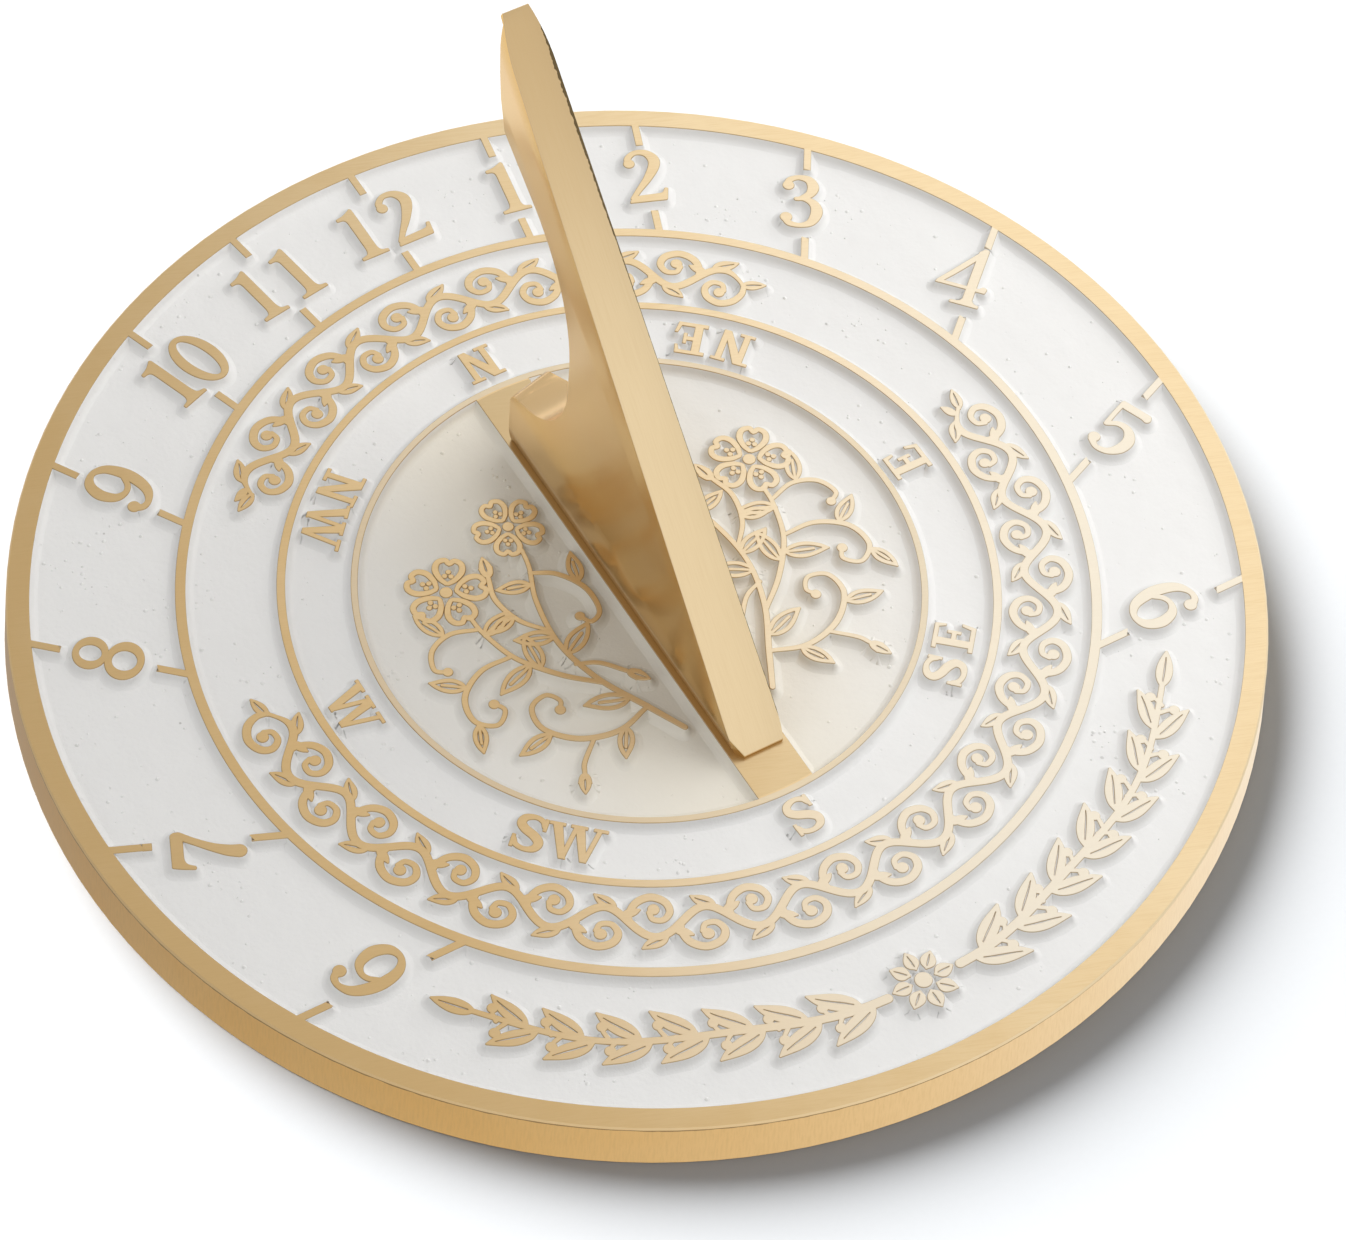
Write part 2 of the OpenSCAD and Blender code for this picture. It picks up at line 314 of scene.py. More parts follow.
sky = blend(tree, seen, sky, (1.0, 1.0, 1.0))
background = add(tree, "ShaderNodeBackground", {"Color": sky, "Strength": 1.0})
tree.links.new(background.outputs[0],
               add(tree, "ShaderNodeOutputWorld").inputs["Surface"])

# %% [markdown]
# ## Effects that several finishes share
#
# Grain is noise squeezed along one direction, as an abrasive belt leaves it.
# Clouds are slow changes of tone from handling and tarnish. Specks are the few
# dark points and pits that every sprayed coat has. The same nodes could be
# copied into each material, but a node group is built once and has its own
# sliders, so each finish places it with its own values.

# %% Groups
def group(name, inputs, outputs):
    """An empty shader group with float or vector inputs and float outputs."""
    tree = bpy.data.node_groups.new(name, "ShaderNodeTree")
    for label, value in inputs.items():
        kind = "NodeSocketVector" if value is None else "NodeSocketFloat"
        socket = tree.interface.new_socket(label, in_out="INPUT", socket_type=kind)
        if value is not None:
            socket.default_value = value
    for label in outputs:
        tree.interface.new_socket(label, in_out="OUTPUT", socket_type="NodeSocketFloat")
    return tree, tree.nodes.new("NodeGroupInput").outputs, tree.nodes.new("NodeGroupOutput")


def place(tree, made, inputs):
    """Places a group in a material and returns its outputs."""
    return add(tree, "ShaderNodeGroup", inputs, node_tree=made).outputs


grain_group, given, result = group(
    "Belt grain", {"Where": None, "Lines per mm": 6.0, "Stretch": 30.0}, ["Grain"])
lines = maths(grain_group, "MULTIPLY", given["Lines per mm"], 1000.0)
slow = maths(grain_group, "DIVIDE", lines, given["Stretch"])
squeeze = add(grain_group, "ShaderNodeCombineXYZ", {0: slow, 1: lines, 2: lines}).outputs[0]
squeezed = add(grain_group, "ShaderNodeVectorMath", {0: given["Where"], 1: squeeze},
               operation="MULTIPLY").outputs[0]
streak = add(grain_group, "ShaderNodeTexNoise",
             {"Vector": squeezed, "Scale": 1.0, "Detail": 3.0, "Roughness": 0.6})
grain_group.links.new(streak.outputs["Fac"], result.inputs["Grain"])

cloud_group, given, result = group(
    "Tarnish clouds", {"Where": None, "Size mm": 12.0, "Contrast": 0.5}, ["Cloud", "Fine"])
often = maths(cloud_group, "DIVIDE", 1000.0, given["Size mm"])
slow = add(cloud_group, "ShaderNodeTexNoise",
           {"Vector": given["Where"], "Scale": often, "Detail": 4.0, "Roughness": 0.55})
low = maths(cloud_group, "MULTIPLY_ADD", given["Contrast"], -0.25, 0.5)
high = maths(cloud_group, "MULTIPLY_ADD", given["Contrast"], 0.25, 0.5)
soft = span(cloud_group, slow.outputs["Fac"], 0.3, 0.7)
mixed = maths(cloud_group, "MULTIPLY_ADD", maths(cloud_group, "SUBTRACT", high, low), soft, low)
cloud_group.links.new(mixed, result.inputs["Cloud"])
fine = add(cloud_group, "ShaderNodeTexNoise",
           {"Vector": given["Where"], "Scale": 2600.0, "Detail": 2.0})
cloud_group.links.new(fine.outputs["Fac"], result.inputs["Fine"])

speck_group, given, result = group(
    "Specks", {"Where": None, "Spacing mm": 5.0, "Share": 0.4, "Size mm": 0.22}, ["Speck"])
often = maths(speck_group, "DIVIDE", 1000.0, given["Spacing mm"])
cells = add(speck_group, "ShaderNodeTexVoronoi",
            {"Vector": given["Where"], "Scale": often, "Randomness": 1.0},
            feature="F1", voronoi_dimensions="3D")
apart = maths(speck_group, "MULTIPLY", cells.outputs["Distance"], given["Spacing mm"])
chance = add(speck_group, "ShaderNodeSeparateColor", {0: cells.outputs["Color"]}).outputs
picked = maths(speck_group, "LESS_THAN", chance[0], given["Share"])
reach = maths(speck_group, "MULTIPLY", given["Size mm"], maths(
    speck_group, "MULTIPLY_ADD", chance[1], 0.9, 0.4))
dot = add(speck_group, "ShaderNodeMapRange",
          {"Value": maths(speck_group, "DIVIDE", apart, reach), "From Min": 0.55,
           "From Max": 1.0, "To Min": 1.0, "To Max": 0.0}).outputs["Result"]
speck_group.links.new(maths(speck_group, "MULTIPLY", dot, picked), result.inputs["Speck"])
print("groups:", [g.name for g in bpy.data.node_groups])

# %% [markdown]
# ## Linished brass, polished brass and white paint
#
# One brass recipe serves all the bright work. Polished faces are almost
# mirrors, so their colour comes from what they reflect. Linished tops are
# satin, with fine lines left by the belt. The paint is a thick satin coat. Its
# broad ripple is real shape, further down; only its fine peel is a bump here,
# because such grains are smaller than any face could be.

# %% Colours
BRASS = (0.820, 0.645, 0.395)
BRASS_SHADED_WEST = (0.715, 0.492, 0.232)
BRASS_WORN = (0.640, 0.430, 0.190)
RIM_SIDE = (0.790, 0.550, 0.255)
CAST = (0.480, 0.330, 0.160)
PALE_SHEEN = (0.760, 0.725, 0.640)
PAINT_COOL, PAINT_WARM = (0.752, 0.742, 0.722), (0.778, 0.770, 0.752)
BRASS_GLOW_TINT, DUST = (0.762, 0.706, 0.590), (0.34, 0.32, 0.30)
EDGE_DIRT = (0.400, 0.270, 0.120)
FIELD_R = FACE_R["inner"] - RING_W["inner"] / 2
# the belt ran at a slant to the noon line, in radians
GRAIN_TURN = 0.35


def start(name):
    """A material with its node tree, its shader and its Object coordinates."""
    material = bpy.data.materials.new(name)
    material.use_nodes = True
    tree = material.node_tree
    where = add(tree, "ShaderNodeTexCoord").outputs["Object"]
    print("finish:", name)
    return material, tree, tree.nodes["Principled BSDF"], where


def bump(tree, height, depth_mm, normal=None):
    """A Bump node whose full height is depth_mm."""
    inputs = {"Height": height, "Distance": depth_mm * MM, "Strength": 1.0}
    if normal is not None:
        inputs["Normal"] = normal
    return add(tree, "ShaderNodeBump", inputs).outputs["Normal"]


def feed(tree, shader, **sockets):
    """Sets or links the sockets of the Principled BSDF."""
    names = {"color": "Base Color", "rough": "Roughness", "metal": "Metallic",
             "normal": "Normal"}
    for key, value in sockets.items():
        wire(tree, shader.inputs[names[key]], value)


def streaks(tree, grain, most):
    """Where the grain is dark, from none to the share given."""
    return span(tree, grain, 0.38, 0.72, 0.0, most)


def white_coat(tree, where):
    """Colour, roughness and normal of the white paint."""
    cloud = place(tree, cloud_group, {"Where": where, "Size mm": 16.0, "Contrast": 0.7})
    speck = place(tree, speck_group, {"Where": where, "Spacing mm": 7.0, "Share": 0.42,
                                      "Size mm": 0.25})["Speck"]
    pit = place(tree, speck_group, {"Where": where, "Spacing mm": 2.2, "Share": 0.60,
                                    "Size mm": 0.21})["Speck"]
    colour = blend(tree, cloud["Cloud"], PAINT_COOL, PAINT_WARM)
    colour = blend(tree, maths(tree, "MULTIPLY", speck, 0.6), colour, DUST)
    # painted warm reflection of the brass bar and gnomon on the paint of the middle, strongest
    # beside the bar, with a little painted shade of the gnomon on the west
    xyz = split(tree, where)
    radius = radius_of(tree, xyz)
    brass_glow = maths(tree, "MINIMUM", span(tree, xyz[0], -44 * MM, -12 * MM, 0.30, 0.80),
                  span(tree, xyz[0], 0.0, 40 * MM, 0.80, 0.20))
    brass_glow = maths(tree, "MULTIPLY", brass_glow, span(tree, radius, 47.6 * MM, 48.6 * MM, 1.0, 0.0))
    colour = blend(tree, brass_glow, colour, BRASS_GLOW_TINT)
    rough = span(tree, cloud["Fine"], 0.3, 0.7, 0.36, 0.48)
    peel = add(tree, "ShaderNodeTexNoise",
               {"Vector": where, "Scale": 1100.0, "Detail": 3.0, "Roughness": 0.6}).outputs["Fac"]
    height = maths(tree, "MULTIPLY_ADD", pit, -0.8, peel)
    # the coat is coarser in the west
    height = maths(tree, "MULTIPLY", height, span(tree, xyz[0], -70 * MM, 50 * MM, 2.3, 1.15))
    return colour, rough, bump(tree, height, 0.042)


# %% Paint material
paint_material, tree, shader, where = start("white enamel")
colour, rough, normal = white_coat(tree, where)
feed(tree, shader, color=colour, rough=rough, normal=normal)
shader.inputs["Specular IOR Level"].default_value = 0.4

# %% Brass of the raised work
def satin_brass(tree, where):
    """Colour, roughness, height and painted pale sheen of brass rubbed with a fine belt.
    The colour is painted deeper in the west and paler in the east, as shade and light
    from the soft box, and the tops towards the south-east get a painted pale sheen."""
    slanted = add(tree, "ShaderNodeMapping",
                  {"Vector": where, "Rotation": (0.0, 0.0, GRAIN_TURN)}).outputs[0]
    grain = place(tree, grain_group, {"Where": slanted, "Lines per mm": 5.0,
                                      "Stretch": 22.0})["Grain"]
    cloud = place(tree, cloud_group, {"Where": where, "Size mm": 15.0, "Contrast": 1.0})
    xyz = split(tree, where)
    # painted light: the brass is painted paler in the east, where the soft box lights it, and
    # deeper in the west, in its shade
    east = span(tree, xyz[0], -100 * MM, 85 * MM)
    east = maths(tree, "ADD", east, span(tree, cloud["Cloud"], 0.0, 1.0, -0.14, 0.14))
    colour = blend(tree, east, BRASS_SHADED_WEST, BRASS)
    colour = blend(tree, streaks(tree, grain, 0.20), colour, BRASS_WORN)
    rough = maths(tree, "MULTIPLY_ADD", grain, 0.14, 0.30)
    height = maths(tree, "MULTIPLY_ADD", cloud["Fine"], 0.35, grain)
    # painted pale sheen: towards the south-east, where the light is strongest, the tops are mixed
    # towards a flat pale colour
    south_east = maths(tree, "MULTIPLY_ADD", xyz[0], 0.75, maths(tree, "MULTIPLY", xyz[1], -0.65))
    pale_sheen = span(tree, south_east, -22 * MM, 80 * MM, 0.02, 0.70)
    return colour, rough, height, pale_sheen


relief_material, tree, shader, where = start("linished brass")
colour, rough, height, pale_sheen = satin_brass(tree, where)
# the painted pale sheen of the south-east
colour = blend(tree, pale_sheen, colour, PALE_SHEEN)
# the broken edge is darker, because dirt stays where the belt can't reach
depth = split(tree, where)[2]
edge = span(tree, depth, (TOP_Z - 0.035) * MM, (TOP_Z - 0.006) * MM, 0.70, 0.0)
colour = blend(tree, edge, colour, EDGE_DIRT)
feed(tree, shader, color=colour, rough=rough, metal=maths(tree, "SUBTRACT", 1.0, pale_sheen),
     normal=bump(tree, height, 0.006))

# %% [markdown]
# ## The dial plate's own finish
#
# The plate is one casting with four kinds of surface. Everything inside the
# rim and below the tops is under paint; the tops are rubbed bright; the outer
# wall of the rim is turned and lacquered; the hollow underside is left as it
# came from the sand. Faces could be given separate materials by hand, but
# height and radius tell the surfaces apart, so one material with masks serves
# the whole casting and its mesh stays as it is.

# %% Dial plate material
BAR_TARNISH_AND_SHADE, INNER_SHEEN = (0.540, 0.400, 0.220), (0.620, 0.585, 0.500)
WALL_SHADED_WEST, WALL_LIT_EAST = (0.800, 0.475, 0.155), (0.820, 0.650, 0.400)
WALL_LINES, SAND_DARK = (0.58, 0.37, 0.14), (0.34, 0.22, 0.10)
RIM_HIGHLIGHT, RIM_EDGE_SHADE = (0.900, 0.760, 0.520), (0.300, 0.190, 0.080)
# the hollow underside lies within this radius and below this height
HOLLOW_R, HOLLOW_TOP = 103.8, 6.9

plate_material, tree, shader, where = start("dial plate casting")
xyz = split(tree, where)
facing = split(tree, add(tree, "ShaderNodeNewGeometry").outputs["Normal"])
radius = radius_of(tree, xyz)
# masks of the surfaces, each 0 or 1
thin_lines = maths(tree, "MULTIPLY", maths(tree, "GREATER_THAN", radius, 48.3 * MM),
                   maths(tree, "LESS_THAN", radius, (DIAL_R - 0.1) * MM))
under_paint = maths(tree, "MULTIPLY",
                    maths(tree, "LESS_THAN", radius, (DIAL_R + 0.5) * MM),
                    maths(tree, "LESS_THAN", xyz[2], (TOP_Z - 0.04) * MM))
below = maths(tree, "MULTIPLY",
              maths(tree, "LESS_THAN", radius, HOLLOW_R * MM),
              maths(tree, "LESS_THAN", xyz[2], HOLLOW_TOP * MM))
under_paint = maths(tree, "SUBTRACT", under_paint, below)
wall = maths(tree, "MULTIPLY", maths(tree, "GREATER_THAN", radius, 105.0 * MM),
             maths(tree, "LESS_THAN", facing[2], 0.5))
# rubbed tops
top_colour, top_rough, top_height, pale_sheen = satin_brass(tree, where)
innermost = maths(tree, "LESS_THAN", radius, 50.0 * MM)
# the bar's top is darkened by tarnish, and more towards the north by painted shade under the
# gnomon's overhanging tip
on_bar = maths(tree, "MULTIPLY", maths(tree, "LESS_THAN", radius, 48.0 * MM),
               span(tree, xyz[1], -45 * MM, 45 * MM, 0.25, 0.60))
top_colour = blend(tree, on_bar, top_colour, BAR_TARNISH_AND_SHADE)
# tops inside the inner ring always get 0.44 of the painted sheen, in a greyer tint
pale_sheen = maths(tree, "MAXIMUM", pale_sheen, maths(tree, "MULTIPLY", innermost, 0.44))
pale_sheen = maths(tree, "MULTIPLY", thin_lines, pale_sheen)
pale_sheen = maths(tree, "MULTIPLY", pale_sheen, maths(tree, "SUBTRACT", 1.0, below))
top_colour = blend(tree, pale_sheen, top_colour,
                   blend(tree, innermost, PALE_SHEEN, INNER_SHEEN))
# turned wall of the rim: fine lines run round it
angle = maths(tree, "ARCTAN2", xyz[1], xyz[0])
around = add(tree, "ShaderNodeCombineXYZ",
             {0: xyz[2], 1: maths(tree, "MULTIPLY", angle, DIAL_R * MM), 2: 0.0}).outputs[0]
turned_lines = place(tree, grain_group, {"Where": around, "Lines per mm": 2.6,
                                         "Stretch": 9.0})["Grain"]
wall_cloud = place(tree, cloud_group, {"Where": where, "Size mm": 22.0, "Contrast": 1.0})
# painted light: the wall is painted pale in the east, where the lamps light it, and deep in the
# west, in shade
wall_lit_share = span(tree, xyz[0], -105 * MM, 95 * MM)
wall_colour = blend(tree, wall_lit_share, WALL_SHADED_WEST, WALL_LIT_EAST)
wall_colour = blend(tree, span(tree, wall_cloud["Cloud"], 0.2, 0.9, 0.0, 0.30), wall_colour,
                    RIM_SIDE)
wall_colour = blend(tree, streaks(tree, turned_lines, 0.24), wall_colour, WALL_LINES)
# a painted highlight along the rim's top edge, and a painted shade line just below it in the
# south-west
ragged = place(tree, cloud_group, {"Where": where, "Size mm": 3.0, "Contrast": 1.0})["Cloud"]
side_x = maths(tree, "ADD", xyz[0], maths(tree, "MULTIPLY", xyz[1], 0.8))
south_west = span(tree, side_x, -100 * MM, -10 * MM, 1.0, 0.0)
outermost = maths(tree, "GREATER_THAN", radius, (DIAL_R + RIM_TOP - 0.02) * MM)
highlight_band = maths(tree, "MULTIPLY", outermost,
                 maths(tree, "GREATER_THAN", xyz[2], (TOP_Z - 0.30) * MM))
shade_band = maths(tree, "SUBTRACT", maths(tree, "MULTIPLY", outermost, maths(
    tree, "GREATER_THAN", xyz[2], maths(tree, "MULTIPLY_ADD", ragged, -0.35 * MM,
                                        (TOP_Z - 0.42) * MM))), highlight_band)
shade_band = maths(tree, "MULTIPLY", shade_band, maths(tree, "MULTIPLY", south_west, 0.85))
# sand-cast underside, and the paint that covers the rest
sand = add(tree, "ShaderNodeTexNoise",
           {"Vector": where, "Scale": 900.0, "Detail": 5.0, "Roughness": 0.7}).outputs["Fac"]
sand_colour = blend(tree, sand, SAND_DARK, CAST)
coat_colour = white_coat(tree, where)[0]
colour = blend(tree, wall, top_colour, wall_colour)
# the painted highlight is stronger towards the east
bright = maths(tree, "MULTIPLY", highlight_band, span(tree, xyz[0], -60 * MM, 60 * MM, 0.15, 0.6))
colour = blend(tree, bright, colour, RIM_HIGHLIGHT)
colour = blend(tree, shade_band, colour, RIM_EDGE_SHADE)
colour = blend(tree, below, colour, sand_colour)
colour = blend(tree, under_paint, colour, coat_colour)
rough = maths(tree, "MULTIPLY_ADD", wall, maths(tree, "SUBTRACT", 0.33, top_rough), top_rough)
rough = maths(tree, "MAXIMUM", rough, maths(tree, "MULTIPLY", below, 0.62))
rough = maths(tree, "MAXIMUM", rough, maths(tree, "MULTIPLY", under_paint, 0.42))
height = maths(tree, "MULTIPLY_ADD", below, maths(tree, "MULTIPLY", sand, 30.0), top_height)
height = maths(tree, "MULTIPLY_ADD", wall, turned_lines, height)
feed(tree, shader, color=colour, rough=rough,
     metal=maths(tree, "SUBTRACT", maths(tree, "SUBTRACT", 1.0, under_paint),
                 maths(tree, "MULTIPLY", pale_sheen, maths(tree, "SUBTRACT", 1.0, under_paint))),
     normal=bump(tree, height, 0.006))
shader.inputs["Specular IOR Level"].default_value = 0.4
nodes["dial_plate"].material_slots[0].material = plate_material

# %% [markdown]
# ## Drawing outlines
#
# Raised work starts as flat outlines, as a pattern maker cuts them. A broad pen
# gives most of them: a smooth path through a few points, with a width at each.
# Other outlines are discs, and polygons whose corners are rounded. Curve
# objects could do the same, but arrays can be bent, mirrored and merged with
# plain sums. An outline that runs anticlockwise adds metal, and one that runs
# clockwise takes it away, as the hole of a nought.

# %% Outline helpers
def through(points, per=9):
    """Smooth path through the points: between points b and c with neighbours a
    and d it is the cubic that passes b and c, with slopes half of c - a and
    half of d - b. Extra columns, such as a width, run along."""
    p = np.asarray(points, float)
    p = np.vstack([2 * p[0] - p[1], p, 2 * p[-1] - p[-2]])
    a, b, c, d = (p[i:len(p) - 3 + i, None] for i in range(4))
    t = (np.arange(per) / per)[None, :, None]
    q = 0.5 * (2 * b + (c - a) * t + (2 * a - 5 * b + 4 * c - d) * t**2
               + (3 * b - a - 3 * c + d) * t**3)
    return np.vstack([q.reshape(-1, p.shape[1]), p[-2]])


def pen(points, per=9):
    """Stroke of a broad pen: rows are x, y, width. The outline is the path moved
    half a width to each side, closed by half circles."""
    path = through(points, per)
    way = np.gradient(path[:, :2], axis=0)
    way /= np.linalg.norm(way, axis=1)[:, None] + 1e-9
    side = np.c_[way[:, 1], -way[:, 0]]
    half = np.maximum(path[:, 2:3], 0.1) / 2
    angle = np.linspace(0, np.pi, 9)[1:-1, None]
    cap = [path[i, :2] + half[i] * (s * side[i] * np.cos(angle) + s * way[i] * np.sin(angle))
           for i, s in ((-1, 1), (0, -1))]
    return np.vstack([path[:, :2] + half * side, cap[0], (path[:, :2] - half * side)[::-1],
                      cap[1]])


def disc(x, y, rx, ry=None, n=26, hole=False):
    """Ellipse about x, y; a hole runs the other way round."""
    a = np.linspace(0, 2 * np.pi, n, endpoint=False) * (-1 if hole else 1)
    return np.c_[x + rx * np.cos(a), y + (rx if ry is None else ry) * np.sin(a)]


def rounded(points, radius=0.25, steps=5):
    """Polygon whose corners are replaced by short curves: each curve is the
    quadratic one from radius before the corner to radius after it. A third
    column gives a corner its own radius."""
    p = np.asarray(points, float)
    own = p[:, 2:3] if p.shape[1] > 2 else np.full((len(p), 1), radius)
    p = p[:, :2]
    to_last, to_next = np.roll(p, 1, 0) - p, np.roll(p, -1, 0) - p
    reach = [np.minimum(own / (np.linalg.norm(v, axis=1)[:, None] + 1e-9), 0.5) * v
             for v in (to_last, to_next)]
    t = np.linspace(0, 1, steps)[None, :, None]
    a, c = (p + reach[0])[:, None], (p + reach[1])[:, None]
    return ((1 - t)**2 * a + 2 * t * (1 - t) * p[:, None] + t**2 * c).reshape(-1, 2)


def area(outline):
    """Signed area: positive when the outline runs anticlockwise."""
    x, y = outline.T
    return 0.5 * np.sum(x * np.roll(y, -1) - y * np.roll(x, -1))


def anticlockwise(outline):
    """The outline, turned round if it runs clockwise."""
    return outline if area(outline) > 0 else outline[::-1]


def stroke(points, per=9):
    """A pen stroke that adds metal."""
    return anticlockwise(pen(points, per))


def plate(points, radius=0.25):
    """A polygon with rounded corners that adds metal."""
    return anticlockwise(rounded(points, radius))


def mirrored_x(outlines):
    """Outlines mirrored about x = 0. Each is also read backwards, so that it
    still adds or takes away metal as before."""
    return [o[::-1] * [-1, 1] for o in outlines]


def leaf(x, y, bearing, length, width, bend=0.0, vein=True, line=None):
    """A laurel leaf from its stalk at x, y. The pen swells from a point to the
    full width and back. A narrow slit along the middle is the vein. A line
    width draws the leaf as an open outline with a midrib instead."""
    t = np.linspace(0, 1, 7)
    swell = np.sin(np.pi * t**0.85)**0.9
    along, across = t * length, bend * length * np.sin(np.pi * t * 0.5)**2
    c, s = math.cos(bearing), math.sin(bearing)
    px, py = x + c * along - s * across, y + s * along + c * across
    blade = stroke(np.c_[px, py, 0.28 + (width - 0.28) * swell], 5)
    if not vein:
        return [blade]
    if line:
        hollow = np.maximum((width - 0.28) * swell - 2 * line, 0.12)
        return [blade, stroke(np.c_[px, py, hollow][1:6], 4)[::-1],
                stroke(np.c_[px, py, np.full(7, 0.42)][:5], 4)]
    return [blade, stroke(np.c_[px, py, 0.12 + 0.34 * swell][1:6], 4)[::-1]]


def placed(outlines, x=0.0, y=0.0, angle=0.0, scale=1.0):
    """Outlines turned by angle, scaled and moved."""
    c, s = math.cos(angle) * scale, math.sin(angle) * scale
    turn_2d = np.array([[c, s], [-s, c]])
    return [o @ turn_2d + [x, y] for o in outlines]


def along_band(outlines, middle, bearing):
    """Bends a flat pattern round the dial: x becomes the distance along the
    circle of radius middle, clockwise from a bearing, and y points outwards."""
    return [np.c_[(middle + o[:, 1]) * np.sin(bearing + o[:, 0] / middle),
                  (middle + o[:, 1]) * np.cos(bearing + o[:, 0] / middle)] for o in outlines]


# %% [markdown]
# ## From outlines to raised metal
#
# All outlines of one pattern are merged first, because two strokes that cross
# are one piece of metal. Boolean modifiers are slow on hundreds of strokes, so
# a constrained triangulation holds every outline's edges instead, and each
# triangle is kept if the outlines wind round its middle. The edges that belong
# to only one kept triangle are the border of the metal. Rows of points set off
# from that border give the broken edge of the brass and the sloping paint
# below it.

# %% Merge outlines
def refined(outline, step=0.45):
    """The same outline with extra points, so that no edge is longer than step
    and the shading of the walls stays local."""
    follow = np.roll(outline, -1, 0)
    pieces = np.maximum(np.ceil(np.linalg.norm(follow - outline, axis=1) / step), 1).astype(int)
    own = np.repeat(np.arange(len(outline)), pieces)
    share = (np.arange(len(own)) - (np.cumsum(pieces) - pieces)[own]) / pieces[own]
    return outline[own] + (follow - outline)[own] * share[:, None]


def winding(points, tails, heads):
    """How often the outlines' edges turn round each point: an edge that rises
    past it on its right counts +1, and one that falls counts -1."""
    count = np.zeros(len(points), int)
    for part in np.array_split(np.arange(len(points)), max(1, len(points) * len(tails) // 4000000)):
        px, py = points[part, 0, None], points[part, 1, None]
        (ax, ay), (bx, by) = tails.T, heads.T
        left = (bx - ax) * (py - ay) - (px - ax) * (by - ay)
        count[part] = (((ay <= py) & (by > py) & (left > 0)).sum(1)
                       - ((ay > py) & (by <= py) & (left < 0)).sum(1))
    return count


def merged(outlines):
    """Points and triangles of everything that the outlines wind round."""
    outlines = [refined(o) for o in outlines]
    sizes = np.array([len(o) for o in outlines])
    tails = np.vstack(outlines)
    first = np.repeat(np.cumsum(sizes) - sizes, sizes)
    index = np.arange(len(tails))
    follow = first + (index - first + 1) % np.repeat(sizes, sizes)
    found = delaunay_2d_cdt([Vector(p) for p in tails.tolist()],
                            np.c_[index, follow].tolist(), [], 0, 1e-6)
    points = np.array([tuple(v) for v in found[0]])
    triangles = np.array(found[2])
    middles = points[triangles].mean(1)
    keep = winding(middles, tails, tails[follow]) > 0
    a, b, c = (points[triangles[:, i]] for i in range(3))
    size = (b[:, 0] - a[:, 0]) * (c[:, 1] - a[:, 1]) - (b[:, 1] - a[:, 1]) * (c[:, 0] - a[:, 0])
    keep &= np.abs(size) > 1e-9
    triangles[size < 0] = triangles[size < 0][:, ::-1]
    return points, triangles[keep]


# %% Border rows
def border(points, triangles):
    """The border as entries that run round the metal on their left: where each
    entry is, the direction out of the metal, and which entry follows. A sharp
    outward corner gets several entries, so that the rows turn round it."""
    edges = triangles[:, [0, 1, 1, 2, 2, 0]].reshape(-1, 2)
    code = edges[:, 0] * len(points) + edges[:, 1]
    edges = edges[~np.isin(code, edges[:, 1] * len(points) + edges[:, 0])]
    after = np.empty(len(edges), int)
    after[np.argsort(edges[:, 1], kind="stable")] = np.argsort(edges[:, 0], kind="stable")
    way = points[edges[:, 1]] - points[edges[:, 0]]
    heading = np.arctan2(way[:, 1], way[:, 0])
    bend = (heading[after] - heading + np.pi) % (2 * np.pi) - np.pi
    copies = np.where(bend > 0.5, np.ceil(bend / 0.4).astype(int) + 1, 1)
    start_at = np.cumsum(copies) - copies
    own = np.repeat(np.arange(len(edges)), copies)
    step = np.arange(len(own)) - start_at[own]
    share = np.where(copies[own] > 1, step / np.maximum(copies[own] - 1, 1), 0.5)
    out = heading[own] - np.pi / 2 + bend[own] * share
    reach = np.where(copies[own] > 1, 1.0, 1 / np.cos(np.clip(bend[own], -1.9, 1.0) / 2))
    follow = np.where(step + 1 < copies[own], np.arange(len(own)) + 1, start_at[after[own]])
    return points[edges[own, 1]], np.c_[np.cos(out), np.sin(out)] * reach[:, None], follow


def rows(spots, out, follow, steps):
    """A strip round the border: one row for each (distance out, height)."""
    n = len(spots)
    points = np.vstack([np.c_[spots + out * d, np.full(n, z)] for d, z in steps])
    i = np.arange(n)
    quads = [np.c_[i + k * n, i + (k + 1) * n, follow + (k + 1) * n, follow + k * n]
             for k in range(len(steps) - 1)]
    return points, np.vstack(quads)


BRASS_EDGE = [(0.0, 0.0), (0.05, -0.022), (0.10, -0.07), (0.14, -0.15), (0.16, -1.75)]
PAINT_SLOPE = [(0.10, -0.13), (0.18, -0.20), (0.29, -0.37), (0.42, -0.60), (0.57, -0.85),
               (0.75, -1.07), (0.98, -1.26), (1.25, -1.40), (1.55, -1.51), (1.8, -1.58)]


def raise_relief(name, outlines):
    """Makes two pieces from outlines: the brass with its rubbed top and broken
    edge, closed below, and the paint that slopes from it to the field."""
    points, triangles = merged(outlines)
    spots, out, follow = border(points, triangles)
    wall, quads = rows(spots, out, follow, [(d, TOP_Z + z) for d, z in BRASS_EDGE])
    n, m = len(points), len(spots)
    foot = TOP_Z + BRASS_EDGE[-1][1]
    body = np.vstack([np.c_[points, np.full(n, TOP_Z)], np.c_[points, np.full(n, foot)], wall])
    obj = make_mesh(name, body, [triangles, triangles[:, ::-1] + n, quads + 2 * n], smooth=False)
    dress(obj, relief_material)
    slope, quads = rows(spots, out, follow, [(d, TOP_Z + z) for d, z in PAINT_SLOPE])
    skin = make_mesh(name + "_paint", slope, [quads])
    dress(skin, paint_material)
    return obj, skin


# %% [markdown]
# ## Numerals
#
# The hours run from six to six. Each numeral stands on its own hour line, so
# its upright is the line's direction. A font could set them, but a cast
# numeral has softer corners and heavier thin strokes than a printed one, so
# each is drawn here about its own middle, twelve millimetres high, with ball
# ends and slab feet.

